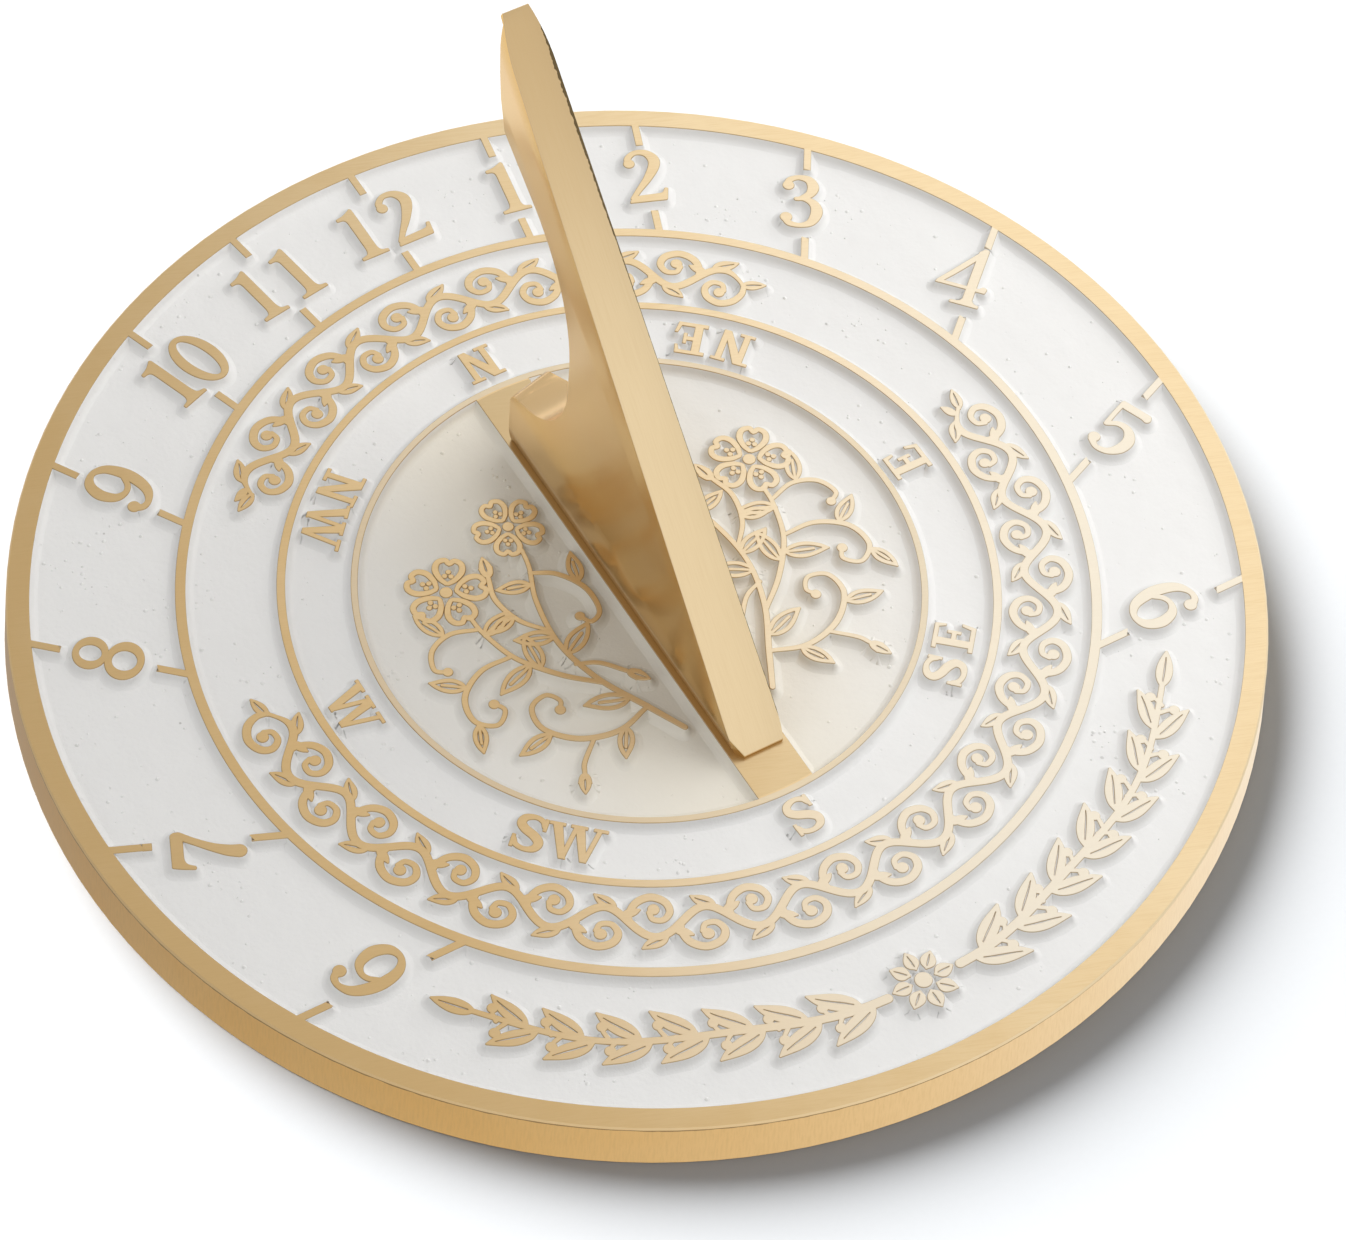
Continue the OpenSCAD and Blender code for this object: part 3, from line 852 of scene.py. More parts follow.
# %% Numeral shapes
def one():
    """An upright with a flag on its left and a slab foot."""
    return [plate([
        (-2.6, -5.95, .12), (2.6, -5.95, .12), (2.6, -5.45, .12), (1.35, -5.2, .8),
        (0.98, -4.2, .9), (0.98, 5.6, .3), (0.75, 5.95, .2), (0.2, 5.6, .6), (-1.0, 4.95, .8),
        (-2.45, 4.72, .2), (-2.5, 4.2, .2), (-1.5, 4.15, .8), (-0.92, 3.6, .8),
        (-0.92, -4.2, .9), (-1.3, -5.2, .8), (-2.6, -5.45, .12)])]


def two():
    """A hook with a ball end, a falling diagonal and a swelling foot."""
    return [pen([(-2.35, 3.35, 1.3), (-2.3, 4.6, 1.1), (-0.9, 5.75, .95), (1.0, 5.5, 1.3),
                 (2.25, 3.9, 1.95), (2.0, 2.0, 1.85), (0.4, -0.7, 1.35), (-1.5, -3.1, .95),
                 (-2.9, -5.0, .8)]),
            disc(-2.3, 3.3, .95),
            plate([(-3.55, -6.0, .15), (3.2, -6.0, .3), (3.7, -3.3, .15),
                   (3.2, -3.25, .15), (2.75, -4.4, .7), (-2.3, -4.6, .6),
                   (-3.4, -5.4, .4)])]


def three():
    """Two bowls that meet in the middle, each with a ball end."""
    return [pen([(-2.45, 3.9, 1.4), (-2.2, 5.0, 1.1), (-0.6, 5.7, .95), (1.3, 5.2, 1.5),
                 (2.1, 3.5, 1.95), (1.5, 1.8, 1.5), (-0.1, 0.75, .85), (-0.9, 0.6, .7)]),
            pen([(-0.9, 0.6, .7), (0.7, 0.6, .9), (2.35, -0.5, 1.6), (2.85, -2.5, 2.0),
                 (1.9, -4.8, 1.5), (0.0, -5.65, .9), (-2.0, -5.3, 1.1), (-2.75, -4.1, 1.4)]),
            disc(-2.4, 3.75, .98), disc(-2.65, -3.85, 1.02)]


def four():
    """An upright with a slab foot, a thin diagonal and a crossbar."""
    return [plate([
        (1.05, -6.2, .5), (1.05, 3.6, .2), (2.65, 6.9, .3), (1.9, 7.0, .2), (1.05, 6.0, .3),
        (1.05, 6.0, .1)]),
        plate([(1.02, -6.4, .2), (2.66, -6.4, .2), (2.66, 6.75, .25),
               (2.2, 6.95, .2), (1.02, 5.3, .3)]),
        pen([(2.05, 6.4, .8), (0.3, 3.7, .95), (-2.2, 0.0, .95), (-4.2, -2.75, .8)], 4),
        plate([(-4.75, -3.1, .15), (4.4, -3.1, .2), (4.6, -1.9, .4),
               (3.75, -1.75, .4), (3.3, -2.45, .6), (-4.3, -2.45, .3)]),
        plate([(-1.1, -6.85, .12), (4.1, -6.85, .12), (4.1, -6.35, .12),
               (3.1, -6.15, .6), (2.6, -5.2, .7), (1.08, -5.2, .7),
               (0.6, -6.15, .6), (-1.1, -6.35, .12)])]


def five():
    """A flag, a short upright and a bowl with a ball end."""
    return [plate([(-2.75, 5.95, .2), (3.05, 5.95, .3), (3.6, 4.9, .5),
                   (3.0, 4.15, .5), (2.2, 4.5, .7), (-2.2, 4.5, .5),
                   (-2.3, 5.0, .3)]),
            pen([(-2.45, 5.5, .8), (-2.5, 2.6, .75), (-2.4, -0.15, .8)], 4),
            pen([(-2.4, -0.15, .8), (-0.6, 1.05, .95), (1.4, 0.9, 1.4), (2.85, -0.9, 1.95),
                 (2.7, -3.3, 1.9), (1.2, -5.2, 1.2), (-0.9, -5.65, .9), (-2.5, -4.6, 1.2)]),
            disc(-2.4, -4.0, 1.0)]


def six():
    """A tall bow that closes into a bowl, with a ball end."""
    return [pen([(2.35, 4.5, 1.3), (1.5, 5.6, 1.05), (-0.1, 5.65, .95), (-1.9, 4.3, 1.6),
                 (-2.9, 1.7, 2.0), (-3.05, -1.3, 2.0), (-2.2, -4.3, 1.5), (-0.2, -5.7, .95),
                 (2.0, -4.8, 1.6), (2.95, -2.2, 1.95), (2.2, 0.4, 1.5), (0.5, 1.35, .9),
                 (-1.1, 0.9, .85), (-2.4, -0.7, .8)]),
            disc(2.3, 4.2, 1.05)]


def seven():
    """A flag, and a curved stem that thickens downwards."""
    return [plate([
        (-3.15, 6.05, .2), (3.35, 6.0, .4), (3.75, 5.2, .4), (3.2, 4.1, .5), (-1.7, 4.2, .9),
        (-2.75, 3.7, .8), (-3.2, 2.25, .2), (-3.75, 2.3, .2), (-3.5, 4.4, .6)]),
        pen([(3.05, 4.75, 1.3), (1.75, 2.3, 1.15), (0.35, -0.6, 1.4), (-0.55, -3.2, 1.95),
             (-0.85, -5.1, 2.3)])]


def eight():
    """Two rings, the smaller one above."""
    return [disc(0.25, 3.15, 3.25, 2.95, 40), disc(0.25, 3.15, 1.75, 2.05, 30, True),
            disc(0.0, -2.85, 3.85, 3.25, 44), disc(0.0, -2.85, 2.15, 2.25, 34, True)]


def nine():
    """A six, turned by half a turn."""
    return placed(six(), angle=math.pi)


def nought():
    """One oval ring."""
    return [disc(0, 0, 3.7, 6.15, 48), disc(0, 0, 1.95, 5.2, 40, True)]


# Each hour: hours from noon, then (shape, across, along) for each of its digits,
# measured from the middle of the numeral ring on the hour line.
NUMERAL_RING = 0.88 * DIAL_R
HOURS = [(-6, [(six, 2.5, .5)]), (-5, [(seven, -1.4, -1.8)]), (-4, [(eight, .2, .1)]),
         (-3, [(nine, 1.3, .4)]), (-2, [(one, -3.2, -.05), (nought, 3.8, -.15)]),
         (-1, [(one, -4.1, -.1), (one, 4.4, -.15)]), (0, [(one, -4.8, -.15), (two, 3.6, -.2)]),
         (1, [(one, 0.1, 0.1)]), (2, [(two, -.4, .4)]), (3, [(three, -.9, .4)]),
         (4, [(four, -2.15, 1.0)]), (5, [(five, .3, -.05)]), (6, [(six, -1.9, -.85)])]


def hour_line(hours):
    """Direction of an hour line: its bearing from north has the tangent
    sin(latitude) * tan(15 degrees * hours)."""
    turn_of_sky = math.radians(15 * hours)
    return math.atan2(math.sin(LATITUDE) * math.sin(turn_of_sky), math.cos(turn_of_sky))


def on_hour_line(hours, radius):
    """Where the hour line meets a circle about the middle of the dial."""
    bearing = hour_line(hours)
    way = np.array([math.sin(bearing), math.cos(bearing)])
    along = -HOUR_ROOT @ way
    return HOUR_ROOT + way * (along + math.sqrt(along**2 - HOUR_ROOT @ HOUR_ROOT + radius**2))


def hour_mark(hours, inner, outer):
    """A bar along an hour line, between two circles."""
    bearing = hour_line(hours)
    a, b = on_hour_line(hours, inner), on_hour_line(hours, outer)
    side = np.array([math.cos(bearing), -math.sin(bearing)]) * MARK_W / 2
    return anticlockwise(np.array([a - side, b - side, b + side, a + side]))


# %% Numerals
numerals = []
for hours, digits in HOURS:
    bearing = hour_line(hours)
    spot = on_hour_line(hours, NUMERAL_RING)
    for shape, across, along in digits:
        x = spot[0] + across * math.cos(bearing) + along * math.sin(bearing)
        y = spot[1] - across * math.sin(bearing) + along * math.cos(bearing)
        numerals += placed(shape(), x, y, -bearing)
# the rim's mark at seven in the morning runs a little further in than the others
numerals.append(hour_mark(-5, DIAL_R - 5.95, DIAL_R - 4.72))
raise_relief("hour_numerals", numerals)

# %% [markdown]
# ## Compass letters
#
# Eight directions are marked in the inner band, with the letters' heads to the
# middle. They are bold capitals with slab ends, seven millimetres high. Few
# letters are needed, and straight bars make most of them, so they are drawn in
# the same way as the numerals.

# %% Letter shapes
def slab(x0, x1, y, up=1):
    """A thin foot or head line."""
    return plate([(x0, y, .08), (x1, y, .08), (x1, y + .5 * up, .08),
                  (x0, y + .5 * up, .08)])


def bar(*points):
    """A straight stroke of a letter, with crisp corners."""
    return plate(points, 0.06)


def letter_n():
    """Two uprights, a thick diagonal and slab ends."""
    return [bar((-2.15, -3.4), (-1.15, -3.4), (-1.15, 3.4), (-2.15, 3.4)),
            bar((-2.5, 3.55), (-0.75, 3.55), (2.75, -3.55), (1.55, -3.55)),
            bar((1.75, -3.5), (2.75, -3.5), (2.75, 3.4), (1.75, 3.4)),
            slab(-3.0, -0.35, -3.55), slab(-3.2, -1.2, 3.55, -1), slab(0.95, 3.5, 3.55, -1)]


def letter_e():
    """An upright, three arms and their slab ends."""
    return [bar((-1.8, -3.4), (-0.45, -3.4), (-0.45, 3.4), (-1.8, 3.4)),
            bar((-2.7, 2.9), (2.5, 2.9), (2.5, 3.55), (-2.7, 3.55)),
            bar((1.75, 3.5), (2.5, 3.5), (2.65, 1.7), (2.3, 1.7)),
            bar((-0.6, -0.35), (1.1, -0.35), (1.1, 0.4), (-0.6, 0.4)),
            bar((0.85, -1.1), (1.35, -1.1), (1.35, 1.2), (0.85, 1.2)),
            bar((-2.7, -3.55), (2.6, -3.55), (2.6, -2.85), (-2.7, -2.85)),
            bar((1.9, -3.5), (2.6, -3.5), (3.1, -1.2), (2.65, -1.2))]


def letter_s():
    """A double curve with slab ends."""
    return [pen([(2.0, 2.0, .8), (1.4, 2.95, .85), (0.0, 3.35, .8), (-1.6, 2.75, 1.2),
                 (-1.95, 1.5, 1.45), (-0.9, 0.5, 1.5), (0.9, -0.3, 1.55), (2.05, -1.4, 1.5),
                 (1.7, -2.75, 1.2), (0.1, -3.35, .8), (-1.5, -2.95, .85), (-2.2, -1.9, .8)], 6),
            bar((1.75, 3.55), (2.3, 3.55), (2.45, 1.15), (1.95, 1.15)),
            bar((-2.45, -3.55), (-1.95, -3.55), (-2.1, -1.1), (-2.6, -1.1))]


def letter_w():
    """Two thick and two thin diagonals with slab heads."""
    return [bar((-4.6, 3.5), (-3.05, 3.5), (-1.25, -3.5), (-2.35, -3.5)),
            bar((-0.75, 3.5), (-0.1, 3.5), (-1.45, -3.5), (-2.2, -3.5)),
            bar((-0.75, 3.5), (0.8, 3.5), (2.35, -3.5), (1.3, -3.5)),
            bar((3.25, 3.5), (3.95, 3.5), (2.3, -3.5), (1.6, -3.5)),
            slab(-5.1, -2.45, 3.55, -1), slab(-1.4, 1.35, 3.55, -1), slab(2.5, 4.9, 3.55, -1)]


# Each label: its bearing, then (shape, millimetres to the reader's right, radius).
LABELS = [(0, [(letter_n, .5, 54.9)]), (45, [(letter_n, -2.9, 54.8), (letter_e, 5.0, 54.8)]),
          (90, [(letter_e, .35, 54.3)]), (135, [(letter_s, -3.2, 54.4), (letter_e, 3.9, 54.4)]),
          (180, [(letter_s, -.4, 54.3)]), (225, [(letter_s, -4.5, 55.0), (letter_w, 3.4, 54.8)]),
          (270, [(letter_w, -.2, 55.6)]), (315, [(letter_n, -5.2, 55.2), (letter_w, 3.7, 55.4)])]

# %% Letters
LETTER_SCALE = 0.98
letters = []
for label, glyphs in LABELS:
    for shape, across, ring in glyphs:
        bearing = math.radians(label) - across / ring
        letters += placed(shape(), ring * math.sin(bearing), ring * math.cos(bearing),
                          math.pi - bearing, LETTER_SCALE)
raise_relief("compass_letters", letters)

# %% [markdown]
# ## Running scroll in the second band
#
# Traditional borders fill a band with a vine: a stem that swings from side to
# side, a curl with a berry in each hollow, and leaves that point along it. An
# array and a curve modifier could repeat and bend it. Here the pattern is
# drawn flat along a straight line, and one formula bends it round the band, so
# that its strokes keep their width.

# %% Vine
def vine(half_length, wave=17.0, swing=2.7):
    """A vine about x = 0 that is about 2 * half_length long. Its stem is the
    sine swing * cos(2 pi x / wave). Each half wave holds a curl with a berry in
    its hollow and a veined leaf on its back."""
    halves = int(2 * half_length / (wave / 2))
    reach = halves * wave / 4
    x = np.linspace(-reach, reach, halves * 6 + 1)
    shift = (halves % 2 == 0) * wave / 4
    y = swing * np.cos(2 * np.pi * (x - shift) / wave)
    ends = np.clip((reach - np.abs(x)) / 4.0, 0.45, 1.0)
    outlines = [stroke(np.c_[x, y, 1.3 * ends], 3)]
    curl = np.array([(4.25, .1, .8), (4.35, -1.9, 1.05), (3.1, -4.0, 1.25), (.7, -5.0, 1.3),
                     (-1.7, -4.1, 1.25), (-2.5, -2.2, 1.1), (-1.4, -.6, .95), (.4, -.7, .85),
                     (1.0, -2.0, .8)])
    for k in range(halves):
        middle = -reach + (k + 0.5) * wave / 2
        up = 1 if swing * math.cos(2 * math.pi * (middle - shift) / wave) > 0 else -1
        parts = [stroke(curl, 6), disc(.25, -2.6, .95, n=20)]
        parts += leaf(-1.9, swing - .2, math.radians(38), 4.6, 2.1, -0.12)
        parts += leaf(-3.0, 1.3, math.radians(150), 3.1, 1.45, 0.12, False)
        # a mirrored outline is also read backwards, so that it still adds metal
        outlines += [o[::up] * [1, up] + [middle, 0] for o in parts]
    for side in (1, -1):
        tip_y = swing * math.cos(2 * math.pi * (reach - shift) / wave)
        tip = leaf(reach - .4, tip_y, math.radians(-20 if tip_y > 0 else 20), 4.2, 1.9)
        outlines += tip if side > 0 else mirrored_x(tip)
    return outlines


LEGEND_MIDDLE = 69.0
raise_relief("scroll_north", along_band(vine(57.5), LEGEND_MIDDLE, 0.0))
raise_relief("scroll_south", along_band(vine(118.5), LEGEND_MIDDLE, math.pi))

# %% [markdown]
# ## Laurel branch in the hour band
#
# The southern part of the hour band has no hours. Two laurel branches grow
# from a rosette there, with leaves in pairs and berries between them. The
# branch is drawn once along a line, mirrored, and bent round the band by the
# same formula as the scroll.

# %% Laurel
def rosette(petals=8, eye=2.3, size=5.6):
    """Petals on a circle about a round eye; every petal is a short leaf."""
    outlines = [disc(0, 0, 1.4, n=24)]
    for k in range(petals):
        a = 2 * math.pi * k / petals
        outlines += leaf(eye * math.cos(a), eye * math.sin(a), a, size - eye, 2.5)
    return outlines


def laurel(length, first=9.5, pitch=9.2):
    """A branch that grows along +x from first to length."""
    x = np.linspace(first - 2.6, length, 24)
    sway = 0.6 * np.sin(x / 7.0)
    outlines = [stroke(np.c_[x, sway, np.linspace(1.5, 0.8, 24)], 3)]
    count = int((length - first) / pitch)
    for k in range(count):
        at = first + k * pitch
        y = 0.6 * math.sin(at / 7.0)
        size = 1.0 - 0.14 * k / count
        outlines += leaf(at, y + .3, math.radians(37), 9.4 * size, 3.1 * size, -0.12)
        outlines += leaf(at + 1.8, y - .3, math.radians(-37), 9.4 * size, 3.1 * size, 0.12)
        for side in (1, -1):
            stalk = at + (5.4 if side > 0 else 7.0)
            outlines += [stroke([(stalk, y, .65),
                                 (stalk + .9, y + side * 1.2, .6),
                                 (stalk + 1.1, y + side * 1.8, .55)], 4),
                         disc(stalk + 1.2, y + side * 2.2, .85, n=20)]
    outlines += leaf(length - .6, 0.6 * math.sin(length / 7.0), 0.0, 7.6, 2.7, 0.0)
    return outlines


HOUR_MIDDLE = 91.2
branch = laurel(76.0)
branches = branch + mirrored_x(branch)
raise_relief("laurel", along_band(branches + rosette(), HOUR_MIDDLE, math.pi))

# %% [markdown]
# ## Flower sprays in the centre
#
# Each side of the noon bar holds a spray in thin raised lines: two stems with
# five-petalled blossoms, leaves and tendrils. A spray has no rule that a
# formula could follow, so its stems go through listed points. The west side
# mirrors the east.

# %% Spray
def blossom(x, y, size, spin):
    """Five petals in outline, each with a notch at its end, about an eye with a
    ring of stamens."""
    outlines = [disc(x, y, 0.17 * size, n=20)]
    for k in range(5):
        a = spin + 2 * math.pi * k / 5
        c, s = math.cos(a), math.sin(a)
        petal = np.array([(.30, -.03, .11), (.46, -.22, .14), (.74, -.37, .16),
                          (1.00, -.33, .15), (1.10, -.13, .14), (.98, 0.0, .13),
                          (1.10, .13, .14), (1.00, .33, .15), (.74, .37, .16),
                          (.46, .22, .14), (.30, .03, .11)]) * size
        xy = petal[:, :2] @ np.array([[c, s], [-s, c]]) + [x, y]
        outlines.append(stroke(np.c_[xy, petal[:, 2]], 4))
        for turn_by, reach in ((-.16, .56), (.16, .56), (0.0, .70)):
            outlines.append(disc(x + reach * size * math.cos(a + turn_by),
                                 y + reach * size * math.sin(a + turn_by), .068 * size, n=12))
    return outlines


def bud(x, y, bearing, size=1.0):
    """A closed bud: a pointed oval between two small sepals."""
    a = math.radians(bearing)
    c, s = math.cos(a), math.sin(a)
    return (leaf(x, y, a, 4.0 * size, 2.1 * size, 0.0)
            + leaf(x - .3 * c, y - .3 * s, a + .62, 2.3 * size, .95 * size, -.15, False)
            + leaf(x - .3 * c, y - .3 * s, a - .62, 2.3 * size, .95 * size, .15, False))


def stem(points, share=0.78):
    """A pen stroke at a share of the widths given."""
    return pen(np.array(points) * [1, 1, share])


def spray():
    """The eastern spray, in millimetres from the middle of the dial."""
    outlines = [
        stem([(8.6, -29.6, 1.05), (12.0, -22.8, 1.2), (16.4, -14.0, 1.1), (18.6, -4.5, 1.0),
             (17.6, 5.0, .95), (15.2, 11.6, .85), (14.4, 15.6, .8)]),
        stem([(16.2, -15.0, .9), (21.6, -10.2, 1.05), (26.6, -3.6, 1.0), (28.8, 3.4, .9),
             (29.2, 7.6, .8)]),
        stem([(12.2, -23.0, .8), (18.5, -24.9, 1.1), (25.2, -23.2, 1.2), (29.6, -18.6, 1.1),
             (29.3, -14.0, .95), (26.0, -12.7, .85), (24.3, -14.8, .8), (25.4, -16.6, .8)]),
        stem([(27.0, -3.0, .75), (33.0, -3.2, 1.0), (38.0, -6.6, 1.15), (39.0, -11.6, 1.05),
             (36.0, -14.2, .9), (33.4, -12.2, .85), (34.4, -10.0, .8)]),
        stem([(18.6, -1.5, .75), (22.2, 3.0, .95), (23.6, 8.6, 1.05), (22.4, 13.2, .95)]),
        stem([(29.2, 4.6, .75), (34.0, 6.0, .95), (38.2, 4.4, 1.0), (39.8, .8, .9),
             (37.9, -.8, .8)]),
        stem([(15.6, 10.8, .75), (11.6, 8.4, .95), (8.8, 3.6, 1.05), (9.0, -1.6, .95),
             (11.4, -3.1, .85), (12.7, -1.1, .8)]),
        stem([(18.2, -9.6, .7), (14.6, -11.2, .85), (11.4, -14.8, .85)]),
        stem([(23.0, -24.2, .7), (26.8, -27.6, .85), (28.0, -29.6, .8)]),
        disc(25.2, -16.5, .85, n=20), disc(34.4, -10.2, .85, n=20),
        disc(12.6, -1.2, .8, n=20), disc(38.0, -.7, .8, n=20)]
    outlines = [anticlockwise(o) for o in outlines]
    for x, y, bearing, length, width, bend in [
            (13.6, -20.0, 10, 7.2, 2.7, .12), (18.5, -7.2, 140, 7.0, 2.7, .12),
            (18.4, -3.0, 28, 6.4, 2.5, -.1), (23.8, -7.6, 104, 6.8, 2.5, -.12),
            (25.0, -6.0, -28, 7.2, 2.6, .1), (28.9, 2.8, 150, 6.0, 2.3, .1),
            (17.2, -24.7, -66, 5.8, 2.2, .1), (16.6, 8.4, 24, 5.6, 2.2, -.1),
            (28.9, -20.2, -4, 6.2, 2.3, -.1), (36.8, -5.2, 44, 5.8, 2.3, -.1),
            (35.0, 6.1, 74, 6.0, 2.3, -.1), (9.2, 5.2, 114, 5.8, 2.2, -.12),
            (38.8, -12.6, -76, 5.2, 2.0, .1), (22.4, 4.0, -6, 5.0, 2.0, -.1)]:
        outlines += leaf(x, y, math.radians(bearing), 1.1 * length, 1.25 * width, bend, line=0.5)
    outlines += bud(22.2, 13.6, 104) + bud(11.0, -15.3, 232, .9) + bud(28.2, -30.0, -62, .9)
    outlines += blossom(14.0, 21.2, 5.4, 0.2) + blossom(30.2, 14.0, 6.2, -0.35)
    return outlines


east_spray = spray()
raise_relief("spray_east", east_spray)
raise_relief("spray_west", mirrored_x(east_spray))

# %% [markdown]
# ## Paint against the rings, the marks and the bar
#
# The solids already hold the rings, marks, bar and rim with upright walls. On
# the real dial the paint creeps up every wall. The solids' own meshes aren't
# changed, so the same outlines are merged once more, and their border gets the
# same sloping skin as the numerals.

# %% Border of the cast lines
def circle(radius, hole=False, n=900):
    """A circle about the dial's axis; a hole runs the other way round."""
    return disc(0, 0, radius, n=n, hole=hole)


CAST_EDGE = [(-0.02, -0.001), (0.03, -0.02), (0.08, -0.07), (0.10, -0.2)]
cast_lines = [circle(DIAL_R + 2.5), circle(DIAL_R, True)]
for ring, radius in FACE_R.items():
    cast_lines += [circle(radius + RING_W[ring] / 2), circle(radius - RING_W[ring] / 2, True)]
for hours in range(-6, 7):
    cast_lines += [hour_mark(hours, DIAL_R - 4.7, DIAL_R + 1.0),
                   hour_mark(hours, FACE_R["outer"], FACE_R["outer"] + 0.8 + 4.5)]
end_y = math.sqrt(FACE_R["inner"]**2 - BAR_HALF**2)
cast_lines.append(np.array([(-BAR_HALF, -end_y), (BAR_HALF, -end_y), (BAR_HALF, end_y),
                            (-BAR_HALF, end_y)]))
points, triangles = merged(cast_lines)
spots, out, follow = border(points, triangles)
inside = np.hypot(*spots.T) < DIAL_R + 1.0
keep = inside & inside[follow]
for name, steps, finish, slot in (
        ("cast_line_edges", CAST_EDGE, relief_material, "brass"),
        ("cast_line_paint", [(d - .03, z) for d, z in PAINT_SLOPE], paint_material,
         "white_paint")):
    points, quads = rows(spots, out, follow, [(d, TOP_Z + z) for d, z in steps])
    quads = quads.reshape(len(steps) - 1, -1, 4)[:, keep].reshape(-1, 4)
    dress(make_mesh(name, points, [quads]), finish)

# %% [markdown]
# ## The painted fields
#
# The flat paint solids are replaced by skins with the slow ripple that thick
# paint keeps. A displacement modifier with a noise texture could make it, but
# a sum of sine waves in many directions has no seams and is one line. Each
# band is a grid of radius and angle; each half of the centre is a grid between
# the bar and the inner ring.

# %% Ripple
CELL = 0.62
seeded = np.random.default_rng(7)
WAVES = [(seeded.uniform(0, 2 * np.pi), seeded.uniform(1.9, 6.5), seeded.uniform(0, 2 * np.pi))
         for _ in range(46)]


def ripple(x, y, depth=0.0024):
    """Sum of sines: each has a direction, a wavelength in mm and a phase. Long
    waves are higher than short ones."""
    total = np.zeros_like(x)
    for way, wave, phase in WAVES:
        total += wave**0.6 * np.sin(
            2 * np.pi / wave * (x * math.cos(way) + y * math.sin(way)) + phase)
    return depth * total / 2.2


def grid_faces(rows_n, columns_n, closed):
    """Quads of a grid; a closed grid joins its last column to its first."""
    i, j = np.meshgrid(np.arange(rows_n - 1), np.arange(columns_n - (not closed)), indexing="ij")
    k = (j + 1) % columns_n
    return np.stack([i * columns_n + j, i * columns_n + k, (i + 1) * columns_n + k,
                     (i + 1) * columns_n + j], -1).reshape(-1, 4)


def paint_skin(name, x, y, faces, node):
    """A rippled skin that takes the place of a flat paint solid."""
    obj = make_mesh(name, np.c_[x, y, PAINT_Z + ripple(x, y)], [faces])
    dress(obj, paint_material)
    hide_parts(node)


def paint_band(name, inner, outer, node):
    """A ring: x = r cos t and y = r sin t on a grid of radius r and angle t."""
    radii = np.linspace(inner, outer, int((outer - inner) / CELL) + 1)
    turns = np.linspace(0, 2 * np.pi, int(2 * np.pi * outer / CELL), endpoint=False)
    r, t = np.meshgrid(radii, turns, indexing="ij")
    faces = grid_faces(len(radii), len(turns), True)[:, ::-1]
    paint_skin(name, (r * np.cos(t)).ravel(), (r * np.sin(t)).ravel(), faces, node)


def paint_half(name, side, node):
    """A half of the centre: in each row y, x runs from the bar to the ring."""
    tall = math.sqrt(FIELD_R**2 - BAR_HALF**2)
    down = np.linspace(-tall, tall, int(2 * tall / CELL))
    share = np.linspace(0, 1, int((FIELD_R - BAR_HALF) / CELL))
    v, u = np.meshgrid(down, share, indexing="ij")
    x = BAR_HALF + u * np.maximum(np.sqrt(np.maximum(FIELD_R**2 - v**2, 0)) - BAR_HALF, 0.01)
    faces = grid_faces(len(down), len(share), False)
    paint_skin(name, side * x.ravel(), v.ravel(), faces if side > 0 else faces[:, ::-1], node)


# %% Fields
half_ring = {ring: width / 2 for ring, width in RING_W.items()}
paint_band("paint_hour_band", FACE_R["outer"] + half_ring["outer"], DIAL_R, "enamel_hour_band")
paint_band("paint_legend_band", FACE_R["middle"] + half_ring["middle"],
           FACE_R["outer"] - half_ring["outer"], "enamel_legend_band")
paint_band("paint_compass_band", FACE_R["inner"] + half_ring["inner"],
           FACE_R["middle"] - half_ring["middle"], "enamel_compass_band")
paint_half("paint_centre_west", -1, "enamel_centre_west")
paint_half("paint_centre_east", 1, "enamel_centre_east")

# %% [markdown]
# ## Pimples in the paint
#
# Small bubbles and grains of dust stand up in the coat, alone or in clusters.
# Instances could scatter them, but they have to end up as one mesh anyway, so
# each is a low dome of a few faces, all computed at once from one template.

# %% Pimples
def domes(centres, radii, heights, segments=7):
    """Low domes: two rings and a top, z = height * (1 - ring radius squared)."""
    a = np.linspace(0, 2 * np.pi, segments, endpoint=False)
    rings = [(1.25, -0.3), (0.8, 0.36), (0.4, 0.84)]
    unit = np.vstack([np.c_[q * np.cos(a), q * np.sin(a), np.full(segments, h)]
                      for q, h in rings] + [[0, 0, 1]])
    points = np.concatenate([unit[None, :, :2] * radii[:, None, None] + centres[:, None],
                             unit[None, :, 2:] * heights[:, None, None] + PAINT_Z], 2)
    j = np.arange(segments)
    k = (j + 1) % segments
    quads = np.vstack([np.c_[j + s, k + s, k + s + segments, j + s + segments]
                       for s in (0, segments)])
    tip = np.c_[j + 2 * segments, k + 2 * segments, np.full(segments, 3 * segments)]
    shift = (np.arange(len(centres)) * len(unit))[:, None, None]
    return points.reshape(-1, 3), (quads + shift).reshape(-1, 4), (tip + shift).reshape(-1, 3)


CLUSTERS, CLUSTER_SPREAD, SINGLES, SCATTER_HALF = 130, 2.2, 700, 103
seeds = seeded.uniform(-SCATTER_HALF, SCATTER_HALF, (CLUSTERS, 2))
scatter = np.repeat(seeds, seeded.integers(1, 9, len(seeds)), axis=0)
scatter = scatter + seeded.normal(0, CLUSTER_SPREAD, scatter.shape)
scatter = np.vstack([scatter, seeded.uniform(-SCATTER_HALF, SCATTER_HALF, (SINGLES, 2))])
# none stands on the rim, the bar or the rings
away = np.hypot(*scatter.T)
free = (away < DIAL_R - 2) & (np.abs(scatter[:, 0]) > BAR_HALF + 1.5)
for ring in FACE_R.values():
    free &= np.abs(away - ring) > 1.8
scatter = scatter[free]
dome_r = seeded.uniform(0.15, 0.44, len(scatter))
dome_z = dome_r * seeded.uniform(0.4, 0.8, len(scatter))
points, quads, tips = domes(scatter, dome_r, dome_z)
dress(make_mesh("paint_pimples", points, [quads, tips]), paint_material)

